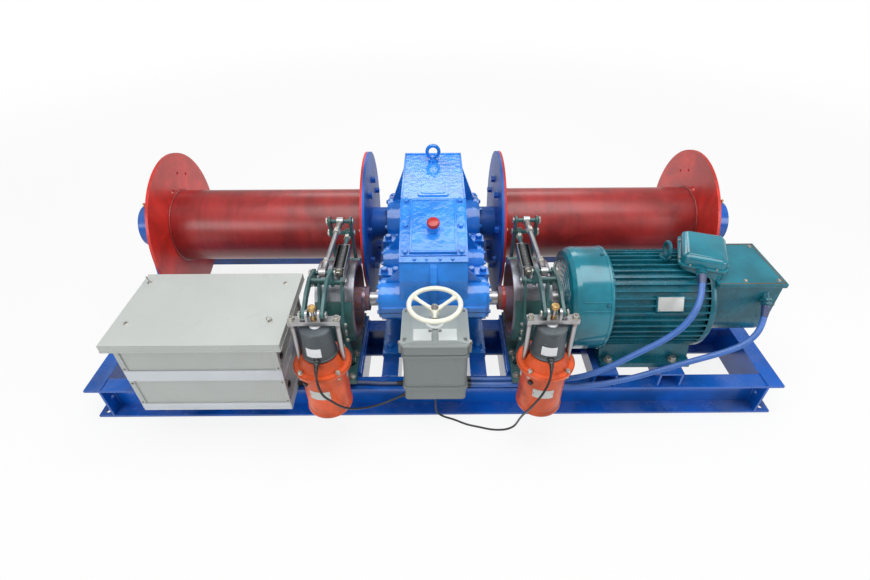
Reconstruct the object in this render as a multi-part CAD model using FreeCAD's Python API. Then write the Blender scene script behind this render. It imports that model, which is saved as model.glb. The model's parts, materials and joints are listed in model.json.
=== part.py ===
"""Electric winch with two rope drums on one welded frame.

Millimetres, +Z up, +X along the drums, +Y from the operator's side to the drums.
The origin is the middle of the four anchor holes, on the underside of the frame.
"""
import math
import os

import FreeCAD
import Part

Vector = FreeCAD.Vector
X_AXIS = Vector(1, 0, 0)
Y_AXIS = Vector(0, 1, 0)
Z_AXIS = Vector(0, 0, 1)

# Frame of welded channel, flanges turned outwards
FRAME_WIDTH = 2732.0
FRAME_DEPTH = 1138.0
CHANNEL_HEIGHT = 160.0
CHANNEL_FLANGE = 65.0
CHANNEL_WEB = 8.5
CHANNEL_FLANGE_THICK = 10.0
MIDDLE_CHANNEL_Y = -167.0
ANCHOR_HOLE_R = 11.0
ANCHOR_FROM_SIDE = 28.0
ANCHOR_FROM_END = 26.0
LIFT_HOLE_R = 9.0
LIFT_HOLE_FROM_END = 38.0

# Shaft axes
AXIS_HEIGHT = 428.0
DRUM_Y = 226.0
INPUT_Y = -340.0
MIDDLE_Y = -95.0

# Drums
DRUM_TUBE_R = 162.5
DRUM_TUBE_WALL = 14.0
DRUM_FLANGE_R = 331.0
DRIVE_FLANGE_IN = 285.0
DRIVE_FLANGE_THICK = 20.0
OUTER_FLANGE_FROM_END = 178.0
OUTER_FLANGE_OUT = FRAME_WIDTH / 2 - OUTER_FLANGE_FROM_END
OUTER_FLANGE_THICK = 12.0
DRUM_SHAFT_R = 55.0
DRUM_HUB_R = 78.0
FLANGE_BOLT_CIRCLE_R = 205.0
FLANGE_BOLT_R = 12.0
FLANGE_BOLT_HEAD = 14.0
FLANGE_BOLTS = 8
ROPE_HOLE_R = 13.0
ROPE_HOLE_FROM_TUBE = 3.0
ROPE_HOLE_ANGLE = 95.0
CLAMP_HOLE_R = 7.0
CLAMP_CIRCLE_R = 241.0
CLAMP_ANGLES = (54.0, 72.5)
FIT = 0.05
RUN_GAP = 6.0

# Drum pedestals
PEDESTAL_THICK = 100.0
PEDESTAL_HOUSING_R = 95.0
PEDESTAL_FOOT_LENGTH = 300.0
PEDESTAL_FOOT_THICK = 24.0
PEDESTAL_NECK = 150.0
PEDESTAL_END_WALL = 14.0
PEDESTAL_CAP_R = 72.0
PEDESTAL_CAP_THICK = 10.0
PEDESTAL_FOOT_LEDGE = 30.0
PEDESTAL_SIDE_LEDGE = 12.0

# Reducer
CASE_HALF_WIDTH = 126.0
CASE_FRONT = INPUT_Y - 88.0
CASE_REAR = DRUM_Y + 274.0
CASE_TOP = AXIS_HEIGHT + 300.0
CASE_TOP_FRONT_Y = MIDDLE_Y
CASE_TOP_REAR_Y = DRUM_Y + 114.0
CASE_SHOULDER_Y = INPUT_Y - 25.0
CASE_SHOULDER_Z = AXIS_HEIGHT + 184.0
CASE_SHOULDER_DROP = 60.0
CASE_SHOULDER_STEP = 30.0
CASE_END_INSET = 14.0
CASE_FOOT_FRONT = CASE_FRONT + 30.0
CASE_FOOT_REAR = CASE_REAR - 40.0
CASE_REAR_SLOPE = ((60.0, 25.0), (100.0, 110.0))
CASE_EYE_Y = DRUM_Y + 34.0
CASE_EYE_R = 26.0
CASE_EYE_BAR = 8.0
SPLIT_FLANGE_THICK = 22.0
SPLIT_FLANGE_OUT = 196.0
CASE_FOOT_OUT = 212.0
CASE_FOOT_THICK = 24.0
BOSS_OUT = 200.0
INPUT_BOSS_R = 82.0
MIDDLE_BOSS_R = 70.0
OUTPUT_BOSS_R = 128.0
CAP_THICK = 10.0
CAP_STEP = 8.0
CAP_SHAFT_GAP = 3.0
GUSSET_THICK = 16.0
GUSSET_STEP = 9.0
OUTPUT_GUSSET_TOP = CASE_TOP - 4.0
MIDDLE_GUSSET_TOP = AXIS_HEIGHT + 170.0
INPUT_GUSSET_TOP = AXIS_HEIGHT + 140.0
LUG_PLACES = (INPUT_Y + 129.0, DRUM_Y - 190.0, DRUM_Y + 194.0)
LUG_OUT = 222.0
LUG_HALF_LENGTH = 24.0
LUG_HEIGHT = 36.0
FRONT_RIB_HALF = 12.0
FRONT_RIB_OUT = 12.0
SHOULDER_LIP = 9.0
SHOULDER_LIP_LENGTH = 24.0
PLAQUE = (-62.0, 62.0, MIDDLE_Y + 23.0, MIDDLE_Y + 166.0)
PLAQUE_THICK = 5.0
PLAQUE_ROUND = 16.0
COVER_HALF_WIDTH = 120.0
COVER_THICK = 6.0
COVER_START = 30.0
COVER_RAISED_HALF = 88.0
COVER_RAISED_THICK = 14.0
COVER_RAISED_STEP = 8.0
VENT_FROM_SHOULDER = 141.0
VENT_BASE_R = 19.0
VENT_BASE_HEIGHT = 30.0
VENT_CAP_R = 22.0
VENT_CAP_HEIGHT = 18.0
INPUT_SHAFT_R = 27.5

# Brake wheels and brakes
WHEEL_R = 150.0
WHEEL_WIDTH = 140.0
WHEEL_X = 360.0
WHEEL_RIM = 16.0
WHEEL_WEB = 18.0
WHEEL_HUB_R = 46.0
WHEEL_HUB_IN = 248.0
BRAKE_PAD_THICK = 28.0
BRAKE_BASE_WIDTH = 120.0
BRAKE_BASE_THICK = 22.0
BASE_FRONT = INPUT_Y - 226.0
PAD_FRONT = INPUT_Y - 164.0
TONGUE_WIDTH = 64.0
TONGUE_THICK = 16.0
TONGUE_RISE = 12.0
TONGUE_REAR = 30.0
TONGUE_PAST_THRUSTER = 34.0
ARM_PIVOT_SPREAD = 130.0
ARM_PIN_OUT = 4.0
ARM_ELBOW = 48.0
SHOE_BLOCK_HALF = 26.0
FOOT_HALF = 34.0
FOOT_TOP_HALF = 16.0
FOOT_ABOVE_PIN = 14.0
FOOT_PIN_GAP = 5.0
BASE_REAR_GAP = 5.0
ARM_PIVOT_ABOVE_BASE = 14.0
ARM_REACH = 193.0
ARM_WIDTH = 36.0
ARM_PIN_R = 9.0
ARM_PLATE = 8.0
ARM_HALF_SPACING = 36.0
SHOE_WIDTH = 130.0
SHOE_LINING = 8.0
SHOE_BACK = 10.0
SHOE_HALF_ANGLE = 35.0
SHOE_GAP = 0.8

# Thruster
THRUSTER_OFFSET = 23.0
THRUSTER_Y = INPUT_Y - 318.0
THRUSTER_R = 78.0
THRUSTER_FLANGE_R = 97.0
THRUSTER_FLANGE_Z = AXIS_HEIGHT - 27.0
THRUSTER_FLANGE_THICK = 16.0
THRUSTER_COLLAR_R = 80.0
THRUSTER_COLLAR_TOP_R = 66.0
THRUSTER_COLLAR_HEIGHT = 40.0
HEAD_BOTTOM_R = 56.0
HEAD_TOP_R = 50.0
HEAD_GLAND_R = 8.0
HEAD_GLAND_OUT = 18.0
HEAD_GLAND_ABOVE_COLLAR = 15.0
ROD_ROOM = 6.0
HEAD_GLAND_DROP = 5.0
CROSSHEAD_Z = AXIS_HEIGHT + 160.0
HEAD_TOP_Z = CROSSHEAD_Z - 13.0
CROSSHEAD_HALF_LENGTH = 84.0
CROSSHEAD_DEPTH = 30.0
CROSSHEAD_THICK = 16.0
CROSSHEAD_LUG_R = 17.0
LUG_SLOT_GAP = 1.2
LUG_SLOT_LENGTH = 5.5
KNOB_STEM_R = 6.0
KNOB_R = 11.0
KNOB_HEIGHT = 14.0
KNOB_ABOVE_PIN = 34.0
PUSH_ROD_R = 10.0
PUSH_ROD_SPACING = 72.0
ROD_BOTTOM_Z = THRUSTER_FLANGE_Z - 60.0

# Lever, pull rod and spring, as places across and above the brake wheel
LEVER_PIVOT = (INPUT_Y - 122.0, AXIS_HEIGHT + 174.0)
LEVER_TOP_PIN = (INPUT_Y - 118.0, AXIS_HEIGHT + 212.0)
LEVER_FRONT_PIN = (THRUSTER_Y, AXIS_HEIGHT + 194.0)
LEVER_HALF_SPACING = 25.0
LEVER_PLATE = 10.0
LEVER_WIDTH = 26.0
LEVER_ARCH = 18.0
LUG_THICK = 8.0
FRONT_PIN_R = 7.0
TOP_PIN_R = 8.0
EYE_R = 16.0
EYE_HALF = 12.0
PULL_ROD_R = 9.0
OPEN_PIVOT_GAP = 2.0
REAR_ARM_TOP_PIN = (INPUT_Y + 175.0, AXIS_HEIGHT + 244.0)
SPRING_Z = AXIS_HEIGHT + 190.0
SPRING_PIN_Y = INPUT_Y + 180.0
SPRING_OFFSET = 25.0
SPRING_R = 17.0
SPRING_REAR_Y = INPUT_Y + 72.0
SPRING_FRONT_Y = INPUT_Y - 85.0
SPRING_INNER_Y = INPUT_Y - 65.0
SPRING_SIDE = 4.0
SPRING_END = 6.0
SPRING_BRACKET_HALF = 16.0
SPRING_ROD_R = 8.0
SPRING_ROD_GAP = 4.5
SPRING_ROD_END_GAP = 30.0

# Motor
MOTOR_Y = INPUT_Y
MOTOR_R = 186.0
FIN_HEIGHT = 16.0
COWL_R = 199.0
COWL_START = 492.0
COWL_END = 636.0
MOTOR_BODY_END = 1005.0
RING_BOX_END = 1240.0
RING_BOX_HALF = 124.0
RING_BOX_TOP = AXIS_HEIGHT + 152.0
MOTOR_FEET_HALF = 186.0
MOTOR_FEET_START = 640.0
MOTOR_FEET_END = 985.0
MOTOR_FOOT_THICK = 22.0
MOTOR_SUPPORT_WIDTH = 92.0
MOTOR_SUPPORT_X = (658.0, 911.0)
MOTOR_SHAFT_HEIGHT = 200.0
MOTOR_SUPPORT_HEIGHT = AXIS_HEIGHT - MOTOR_SHAFT_HEIGHT - CHANNEL_HEIGHT
SUPPORT_WALL = 8.0
MOTOR_END_RING = 20.0
MOTOR_END_STEP = 3.0
FIN_COUNT = 44
FIN_THICK = 5.0
SHAFT_IN_MOTOR = 660.0
COWL_ROUND = 34.0
COWL_ROUND_STEPS = 3
COWL_HOLE_R = 60.0
RING_LID_THICK = 6.0
RING_LID_LIP = 5.0
RING_LID_GAP = 1.0
RING_GLAND_X = 1195.0
RING_GLAND_ABOVE_AXIS = 97.0
GLAND_R = 15.0
GLAND_LENGTH = 31.0
GLAND_ABOVE_BOTTOM = 52.0
BOX_CLEARANCE = 0.2
MOTOR_EYE_X = 850.0
MOTOR_EYE_R = 24.0
MOTOR_EYE_BAR = 7.0
TERMINAL_X = 985.0
TERMINAL_Y = MOTOR_Y + 5.0
TERMINAL_LENGTH = 150.0
TERMINAL_DEPTH = 190.0
TERMINAL_BOTTOM = AXIS_HEIGHT + 132.0
TERMINAL_TOP = AXIS_HEIGHT + 227.0
TERMINAL_TURN = -20.0
TERMINAL_ROUND = 24.0
TERMINAL_LIP = 8.0
TERMINAL_LID_THICK = 26.0

# Controller
CONTROLLER_X = 4.0
CONTROLLER_FRONT = -620.0
CONTROLLER_DEPTH = 186.0
CONTROLLER_WIDTH = 232.0
CONTROLLER_TOP = 440.0
LID_THICK = 28.0
LID_LIP = 5.0
HANDWHEEL_R = 99.0
HANDWHEEL_RIM = 9.0
HANDWHEEL_Z = 553.0
HANDWHEEL_DISH = 28.0
HANDWHEEL_HUB_R = 17.0
HANDWHEEL_HUB_HALF = 12.0
SPINDLE_R = 10.0
SPINDLE_FOOT = 4.0
SPINDLE_FOOT_GAP = 2.0
SPOKE_R = 7.0
SPOKE_START = 8.0
CONTROLLER_ROUND = 16.0
COLLAR_OUT = 3.0
COLLAR_HEIGHT = 40.0
RIDGE_OUT = 5.0
RIDGE_HEIGHT = 12.0
RIDGE_PLACES = (CONTROLLER_TOP - 56.0, CHANNEL_HEIGHT + 58.0)
EAR_OUT = 13.0
EAR_FROM_FRONT = (14.0, 40.0)
EAR_FROM_TOP = (44.0, 8.0)
LID_EDGE = 12.0
LID_CROWN_HALF = 80.0
LID_STEP = 3.0
LID_GROOVE_HALF = 9.0
LID_GROOVE_DEPTH = 5.0
LID_BOSS_R = 26.0
LID_BOSS_HEIGHT = 12.0

# Resistor box
BOX_FROM_END = 286.0
BOX_RIGHT = -532.0
BOX_FRONT = -662.0
BOX_REAR = -322.0
BOX_BODY = (BOX_FROM_END - FRAME_WIDTH / 2, BOX_RIGHT, BOX_FRONT, BOX_REAR)
BOX_TOP = 518.0
COVER_LEFT_OUT = 18.0
COVER_RIGHT_OUT = 28.0
COVER_FRONT_OUT = 28.0
COVER_REAR_OUT = 26.0
COVER_PLATE = (BOX_BODY[0] - COVER_LEFT_OUT, BOX_RIGHT + COVER_RIGHT_OUT, BOX_FRONT - COVER_FRONT_OUT,
               BOX_REAR + COVER_REAR_OUT)
PANEL_RECESS = 4.0
PANEL_SIDE = 16.0
PANELS = ((CHANNEL_HEIGHT + 38.0, BOX_TOP - 198.0), (BOX_TOP - 146.0, BOX_TOP - 18.0))
COVER_SKIRT = 28.0
COVER_SHEET = 2.0

# Cords: points along each and its diameter
CORNER_SHARE = 0.45
HOSE = 22.0
THIN_HOSE = 16.0
LEAD = 8.0
CORDS = {
    "stator_hose": ([(941, -456, 612), (920, -514, 604), (896, -567, 573), (864, -596, 518),
                     (816, -600, 454), (720, -602, 378), (622, -598, 290), (540, -578, 226),
                     (450, -535, 172), (330, -531, 171.5), (220, -534, 171.5), (121, -531, 171.5)], HOSE),
    "rotor_hose": ([(1194, -488, 500.5), (1180, -538, 446), (1128, -568, 392), (1045, -576, 352),
                    (950, -580, 318), (840, -582, 270), (730, -583, 222), (610, -580, 186),
                    (490, -568, 172), (360, -557, 171.5), (230, -560, 171.5), (121, -557, 171.5)], HOSE),
    "resistor_hose": ([(-113, -545, 169), (-190, -550, 168.5), (-290, -540, 168.5), (-395, -547, 168.5),
                       (-470, -541, 169), (-531, -545, 171)], THIN_HOSE),
    "brake_lead_right": ([(383, -733, 467), (379, -764, 455), (370, -782, 426), (356, -786, 380),
                          (338, -776, 320), (327, -752, 255), (322, -718, 190), (318, -690, 128),
                          (315, -668, 70), (306, -654, 28), (276, -650, 6), (226, -648, 4.5),
                          (176, -634, 4.5), (127, -622, 4.5), (78, -596, 4.5), (36, -585, 8),
                          (8, -591, 42), (3, -597, 105), (5, -594, 159)], LEAD),
    "brake_lead_left": ([(-383, -733, 467), (-381, -764, 455), (-375, -782, 426), (-366, -785, 380),
                         (-349, -768, 335), (-327, -746, 277), (-303, -718, 228), (-270, -685, 189),
                         (-226, -654, 163), (-176, -628, 156), (-113.8, -604, 170)], LEAD),
}


def box(x0, x1, y0, y1, z0, z1):
    """Block between two corners."""
    return Part.makeBox(x1 - x0, y1 - y0, z1 - z0, Vector(x0, y0, z0))


def rounded_block(x0, x1, y0, y1, z0, z1, radius):
    """Block with its upright edges rounded."""
    block = box(x0, x1, y0, y1, z0, z1)
    upright = [edge for edge in block.Edges if edge.BoundBox.ZLength > 0.9 * (z1 - z0)]
    return block.makeFillet(radius, upright)


def rod(radius, start, end):
    """Round bar from one point to another."""
    a, b = Vector(*start), Vector(*end)
    return Part.makeCylinder(radius, (b - a).Length, a, b - a)


def x_disc(radius, x0, x1, y, z):
    """Disc or bar along X."""
    return Part.makeCylinder(radius, x1 - x0, Vector(x0, y, z), X_AXIS)


def side_prism(points, x0, x1):
    """Outline in the Y-Z plane, made solid from x0 to x1."""
    corners = [Vector(x0, y, z) for y, z in points]
    wire = Part.makePolygon(corners + corners[:1])
    return Part.Face(wire).extrude(Vector(x1 - x0, 0, 0))


def fused(shapes):
    """One solid from shapes that overlap or touch."""
    whole = shapes[0]
    if len(shapes) > 1:
        whole = whole.multiFuse(shapes[1:])
    return whole.removeSplitter()


def bar_ring(radius, bar_radius, centre, axis):
    """Ring bent from bar, its section an octagon of the bar's size."""
    steps = [math.radians(45 * k + 22.5) for k in range(8)]
    corners = [Vector(radius + bar_radius * math.cos(a), 0, bar_radius * math.sin(a)) for a in steps]
    section = Part.Face(Part.makePolygon(corners + corners[:1]))
    ring = section.revolve(Vector(0, 0, 0), Z_AXIS, 360)
    ring.Placement = FreeCAD.Placement(Vector(*centre), FreeCAD.Rotation(Z_AXIS, axis))
    return ring


def lifting_eye(radius, bar_radius, foot, axis):
    """Lifting eye: ring, neck and collar standing on foot."""
    x, y, z = foot
    collar = 1.25 * bar_radius
    neck = 1.4 * bar_radius
    centre = (x, y, z + radius + bar_radius + collar)
    return fused([bar_ring(radius, bar_radius, centre, axis),
                  rod(neck, (x, y, z), (x, y, z + collar + bar_radius)),
                  rod(3 * bar_radius, (x, y, z - 1), (x, y, z + collar))])


def mirrored(shape):
    """The same piece on the other side of the winch."""
    return shape.mirror(Vector(0, 0, 0), X_AXIS)


def pair(shape):
    """A piece and its mirror image as two solids."""
    return Part.makeCompound([shape, mirrored(shape)])


def turned(shape, degrees, centre, axis):
    copy = shape.copy()
    copy.rotate(centre, axis, degrees)
    return copy


def moved(shape, x=0.0, y=0.0, z=0.0):
    copy = shape.copy()
    copy.translate(Vector(x, y, z))
    return copy


def channel_section(length):
    """Channel along X, flange tips at y = 0, web behind them, foot at z = 0."""
    web = box(-length / 2, length / 2, CHANNEL_FLANGE - CHANNEL_WEB, CHANNEL_FLANGE, 0, CHANNEL_HEIGHT)
    low = box(-length / 2, length / 2, 0, CHANNEL_FLANGE, 0, CHANNEL_FLANGE_THICK)
    high = moved(low, z=CHANNEL_HEIGHT - CHANNEL_FLANGE_THICK)
    return fused([web, low, high])


WEB_IN_Y = FRAME_DEPTH / 2 - CHANNEL_FLANGE
WEB_IN_X = FRAME_WIDTH / 2 - CHANNEL_FLANGE
BEARER_OUT = CASE_FOOT_OUT - 2.0
BRAKE_BEARER_IN = WHEEL_X - WHEEL_WIDTH / 2


def frame_pieces():
    """Four outer channels: the end ones run through, the long ones butt between their webs."""
    origin = Vector(0, 0, 0)
    front = moved(channel_section(2 * WEB_IN_X), y=-FRAME_DEPTH / 2)
    rear = turned(front, 180, origin, Z_AXIS)
    left = turned(moved(channel_section(FRAME_DEPTH), y=-FRAME_WIDTH / 2), -90, origin, Z_AXIS)
    hole_x = FRAME_WIDTH / 2 - ANCHOR_FROM_SIDE
    hole_y = FRAME_DEPTH / 2 - ANCHOR_FROM_END
    for y in (-hole_y, hole_y):
        left = left.cut(rod(ANCHOR_HOLE_R, (-hole_x, y, -1), (-hole_x, y, CHANNEL_FLANGE_THICK + 1)))
    lift_y = LIFT_HOLE_FROM_END - FRAME_DEPTH / 2
    for y in (-lift_y, lift_y):
        left = left.cut(x_disc(LIFT_HOLE_R, -FRAME_WIDTH / 2, -WEB_IN_X + 1, y, CHANNEL_HEIGHT / 2))
    return {"frame_front_channel": front, "frame_rear_channel": rear,
            "frame_left_channel": left, "frame_right_channel": mirrored(left)}


def cross_members():
    """Middle channels, reducer bearers and the angle behind the resistor box."""
    origin = Vector(0, 0, 0)
    mid_front = MIDDLE_CHANNEL_Y - CHANNEL_FLANGE
    span = WEB_IN_X - BEARER_OUT
    middle = moved(channel_section(span), x=BEARER_OUT + span / 2, y=mid_front)
    bearer = moved(turned(channel_section(2 * WEB_IN_Y), 90, origin, Z_AXIS), x=BEARER_OUT)
    rail_y = BOX_BODY[3] - CHANNEL_FLANGE
    rail = box(-WEB_IN_X, -BRAKE_BEARER_IN - WHEEL_WIDTH, rail_y, rail_y + CHANNEL_FLANGE,
               CHANNEL_HEIGHT - CHANNEL_FLANGE, CHANNEL_HEIGHT)
    hollow = box(-WEB_IN_X, -BRAKE_BEARER_IN - WHEEL_WIDTH, rail_y, rail_y + CHANNEL_FLANGE - CHANNEL_WEB,
                 CHANNEL_HEIGHT - CHANNEL_FLANGE, CHANNEL_HEIGHT - CHANNEL_WEB)
    inner = [middle, mirrored(middle), bearer, mirrored(bearer)]
    return {"inner_channels": Part.makeCompound(inner), "resistor_rail": rail.cut(hollow)}


def drum_pieces():
    """One drum to the right of the reducer; the left one is its mirror image."""
    tube_start = DRIVE_FLANGE_IN + DRIVE_FLANGE_THICK
    tube_end = OUTER_FLANGE_OUT - OUTER_FLANGE_THICK
    barrel = x_disc(DRUM_TUBE_R, tube_start, tube_end, DRUM_Y, AXIS_HEIGHT)
    barrel = barrel.cut(x_disc(DRUM_TUBE_R - DRUM_TUBE_WALL, tube_start, tube_end, DRUM_Y, AXIS_HEIGHT))
    drive = x_disc(DRUM_FLANGE_R, DRIVE_FLANGE_IN, tube_start, DRUM_Y, AXIS_HEIGHT)
    hub = x_disc(DRUM_HUB_R, BOSS_OUT + CAP_THICK + RUN_GAP, DRIVE_FLANGE_IN, DRUM_Y, AXIS_HEIGHT)
    heads = [drive, hub]
    for index in range(FLANGE_BOLTS):
        angle = math.radians((index + 0.5) * 360 / FLANGE_BOLTS)
        y = DRUM_Y + FLANGE_BOLT_CIRCLE_R * math.cos(angle)
        z = AXIS_HEIGHT + FLANGE_BOLT_CIRCLE_R * math.sin(angle)
        heads.append(x_disc(FLANGE_BOLT_R, DRIVE_FLANGE_IN - FLANGE_BOLT_HEAD, DRIVE_FLANGE_IN + 1, y, z))
    shaft_hole = x_disc(DRUM_SHAFT_R + FIT, 0, FRAME_WIDTH / 2, DRUM_Y, AXIS_HEIGHT)
    drive = fused(heads).cut(shaft_hole)
    outer = x_disc(DRUM_FLANGE_R, tube_end, OUTER_FLANGE_OUT, DRUM_Y, AXIS_HEIGHT).cut(shaft_hole)
    rope_circle = DRUM_TUBE_R + ROPE_HOLE_R + ROPE_HOLE_FROM_TUBE
    holes = [(ROPE_HOLE_R, rope_circle, ROPE_HOLE_ANGLE)]
    holes += [(CLAMP_HOLE_R, CLAMP_CIRCLE_R, angle) for angle in CLAMP_ANGLES]
    for radius, circle, degrees in holes:
        angle = math.radians(degrees)
        outer = outer.cut(x_disc(radius, tube_end - 1, OUTER_FLANGE_OUT + 1,
                                 DRUM_Y + circle * math.cos(angle), AXIS_HEIGHT + circle * math.sin(angle)))
    end = FRAME_WIDTH / 2 - PEDESTAL_CAP_THICK - PEDESTAL_END_WALL - RUN_GAP
    shaft = x_disc(DRUM_SHAFT_R, -end, end, DRUM_Y, AXIS_HEIGHT)
    return {"drum_barrel_left": mirrored(barrel), "drum_barrel_right": barrel,
            "drum_drive_flange_left": mirrored(drive), "drum_drive_flange_right": drive,
            "drum_outer_flange_left": mirrored(outer), "drum_outer_flange_right": outer,
            "drum_shaft": shaft}


def pedestal_pieces():
    """Bearing pedestal over the end channel, with its round end cap."""
    out = FRAME_WIDTH / 2 - PEDESTAL_CAP_THICK
    inside = out - PEDESTAL_THICK
    top = CHANNEL_HEIGHT
    half_foot = PEDESTAL_FOOT_LENGTH / 2
    half_neck = PEDESTAL_NECK / 2
    foot = box(inside, out, DRUM_Y - half_foot, DRUM_Y + half_foot, top, top + PEDESTAL_FOOT_THICK)
    half_column = half_foot - PEDESTAL_FOOT_LEDGE
    column = side_prism([(DRUM_Y - half_column, top), (DRUM_Y + half_column, top),
                         (DRUM_Y + half_neck, AXIS_HEIGHT), (DRUM_Y - half_neck, AXIS_HEIGHT)],
                        inside + PEDESTAL_SIDE_LEDGE, out - PEDESTAL_SIDE_LEDGE)
    housing = x_disc(PEDESTAL_HOUSING_R, inside, out, DRUM_Y, AXIS_HEIGHT)
    pedestal = fused([foot, column, housing])
    bore = x_disc(DRUM_SHAFT_R + FIT, inside - 1, out - PEDESTAL_END_WALL, DRUM_Y, AXIS_HEIGHT)
    cap = x_disc(PEDESTAL_CAP_R, out, out + PEDESTAL_CAP_THICK, DRUM_Y, AXIS_HEIGHT)
    pedestal = pedestal.cut(bore)
    return {"pedestal_left": mirrored(pedestal), "pedestal_right": pedestal,
            "pedestal_cap_left": mirrored(cap), "pedestal_cap_right": cap}


def case_bosses(half):
    """Half-round bearing bosses on both sides; half is +1 above the split, -1 below."""
    bosses = []
    for y, radius in ((INPUT_Y, INPUT_BOSS_R), (MIDDLE_Y, MIDDLE_BOSS_R), (DRUM_Y, OUTPUT_BOSS_R)):
        bosses.append(x_disc(radius, -BOSS_OUT, BOSS_OUT, y, AXIS_HEIGHT))
    keep = box(-BOSS_OUT, BOSS_OUT, CASE_FRONT, CASE_REAR, AXIS_HEIGHT, CASE_TOP)
    if half < 0:
        keep = box(-BOSS_OUT, BOSS_OUT, CASE_FRONT, CASE_REAR, CHANNEL_HEIGHT, AXIS_HEIGHT)
    return [boss.common(keep) for boss in bosses]


def gusset(y, boss_radius, top):
    """Rib from a bearing boss up the case's side, right side."""
    wall = CASE_HALF_WIDTH - 1
    foot = AXIS_HEIGHT + boss_radius - GUSSET_STEP
    corners = [Vector(wall, y - GUSSET_THICK / 2, foot), Vector(BOSS_OUT - GUSSET_STEP, y - GUSSET_THICK / 2, foot),
               Vector(wall, y - GUSSET_THICK / 2, top)]
    return Part.Face(Part.makePolygon(corners + corners[:1])).extrude(Vector(0, GUSSET_THICK, 0))


def bolt_lugs(z0, z1):
    """Thick lugs on both sides of the split flange, between the bosses."""
    return [box(-LUG_OUT, LUG_OUT, y - LUG_HALF_LENGTH, y + LUG_HALF_LENGTH, z0, z1) for y in LUG_PLACES]


def upper_case():
    """Upper case: sloping front, deck with its plaque and eye, bosses with gussets, lugs and front rib."""
    split = AXIS_HEIGHT
    front = CASE_FRONT + CASE_END_INSET
    knee = (CASE_SHOULDER_Y - CASE_SHOULDER_STEP, CASE_SHOULDER_Z - CASE_SHOULDER_DROP)
    rear = [(CASE_TOP_REAR_Y + back, CASE_TOP - down) for back, down in CASE_REAR_SLOPE]
    outline = [(front, split), (CASE_REAR - CASE_END_INSET, split)] + rear[::-1]
    outline += [(CASE_TOP_REAR_Y, CASE_TOP), (CASE_TOP_FRONT_Y, CASE_TOP), (CASE_SHOULDER_Y, CASE_SHOULDER_Z), knee]
    pieces = [side_prism(outline, -CASE_HALF_WIDTH, CASE_HALF_WIDTH),
              box(-SPLIT_FLANGE_OUT, SPLIT_FLANGE_OUT, CASE_FRONT, CASE_REAR, split, split + SPLIT_FLANGE_THICK)]
    pieces += case_bosses(1) + bolt_lugs(split, split + LUG_HEIGHT)
    for y, radius, top in ((INPUT_Y, INPUT_BOSS_R, INPUT_GUSSET_TOP), (MIDDLE_Y, MIDDLE_BOSS_R, MIDDLE_GUSSET_TOP),
                           (DRUM_Y, OUTPUT_BOSS_R, OUTPUT_GUSSET_TOP)):
        rib = gusset(y, radius, top)
        pieces += [rib, mirrored(rib)]
    rib_outline = [(CASE_SHOULDER_Y, CASE_SHOULDER_Z), knee, (front, split + 1),
                   (front - FRONT_RIB_OUT, split + 1), (knee[0] - FRONT_RIB_OUT, knee[1]),
                   (CASE_SHOULDER_Y - FRONT_RIB_OUT, CASE_SHOULDER_Z - FRONT_RIB_OUT)]
    pieces.append(side_prism(rib_outline, -FRONT_RIB_HALF, FRONT_RIB_HALF))
    pieces.append(on_slope(box(-CASE_HALF_WIDTH, CASE_HALF_WIDTH, 0, SHOULDER_LIP_LENGTH, -1, SHOULDER_LIP)))
    pieces.append(rounded_block(*PLAQUE, CASE_TOP - 1, CASE_TOP + PLAQUE_THICK, PLAQUE_ROUND))
    pieces.append(lifting_eye(CASE_EYE_R, CASE_EYE_BAR, (0, CASE_EYE_Y, CASE_TOP), Y_AXIS))
    return fused(pieces)


def lower_case():
    """Lower case on its feet, with the lower halves of the bosses and of the lugs."""
    split = AXIS_HEIGHT
    outline = [(CASE_FOOT_FRONT, CHANNEL_HEIGHT), (CASE_FOOT_REAR, CHANNEL_HEIGHT),
               (CASE_REAR - CASE_END_INSET, split), (CASE_FRONT + CASE_END_INSET, split)]
    pieces = [side_prism(outline, -CASE_HALF_WIDTH, CASE_HALF_WIDTH),
              box(-CASE_FOOT_OUT, CASE_FOOT_OUT, CASE_FOOT_FRONT, CASE_FOOT_REAR,
                  CHANNEL_HEIGHT, CHANNEL_HEIGHT + CASE_FOOT_THICK),
              box(-SPLIT_FLANGE_OUT, SPLIT_FLANGE_OUT, CASE_FRONT, CASE_REAR, split - SPLIT_FLANGE_THICK, split)]
    return fused(pieces + case_bosses(-1) + bolt_lugs(split - LUG_HEIGHT, split))


SLOPE_RISE = CASE_TOP - CASE_SHOULDER_Z
SLOPE_RUN = CASE_TOP_FRONT_Y - CASE_SHOULDER_Y
SLOPE_LENGTH = math.hypot(SLOPE_RISE, SLOPE_RUN)


def on_slope(shape):
    """A shape made flat on z = 0 from y = 0, laid on the case's sloping front from its shoulder up."""
    laid = turned(shape, math.degrees(math.atan2(SLOPE_RISE, SLOPE_RUN)), Vector(0, 0, 0), X_AXIS)
    return moved(laid, y=CASE_SHOULDER_Y, z=CASE_SHOULDER_Z)


def reducer_cover():
    """Inspection cover with its raised middle and the vent's base, and the vent's cap."""
    plate = box(-COVER_HALF_WIDTH, COVER_HALF_WIDTH, COVER_START, SLOPE_LENGTH - 2, 0, COVER_THICK)
    raised = box(-COVER_RAISED_HALF, COVER_RAISED_HALF, COVER_START + COVER_RAISED_STEP,
                 SLOPE_LENGTH - COVER_RAISED_STEP, 0, COVER_RAISED_THICK)
    top = COVER_RAISED_THICK + VENT_BASE_HEIGHT
    base = rod(VENT_BASE_R, (0, VENT_FROM_SHOULDER, 0), (0, VENT_FROM_SHOULDER, top))
    cap = rod(VENT_CAP_R, (0, VENT_FROM_SHOULDER, top), (0, VENT_FROM_SHOULDER, top + VENT_CAP_HEIGHT))
    return on_slope(fused([plate, raised, base])), on_slope(cap)


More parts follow.
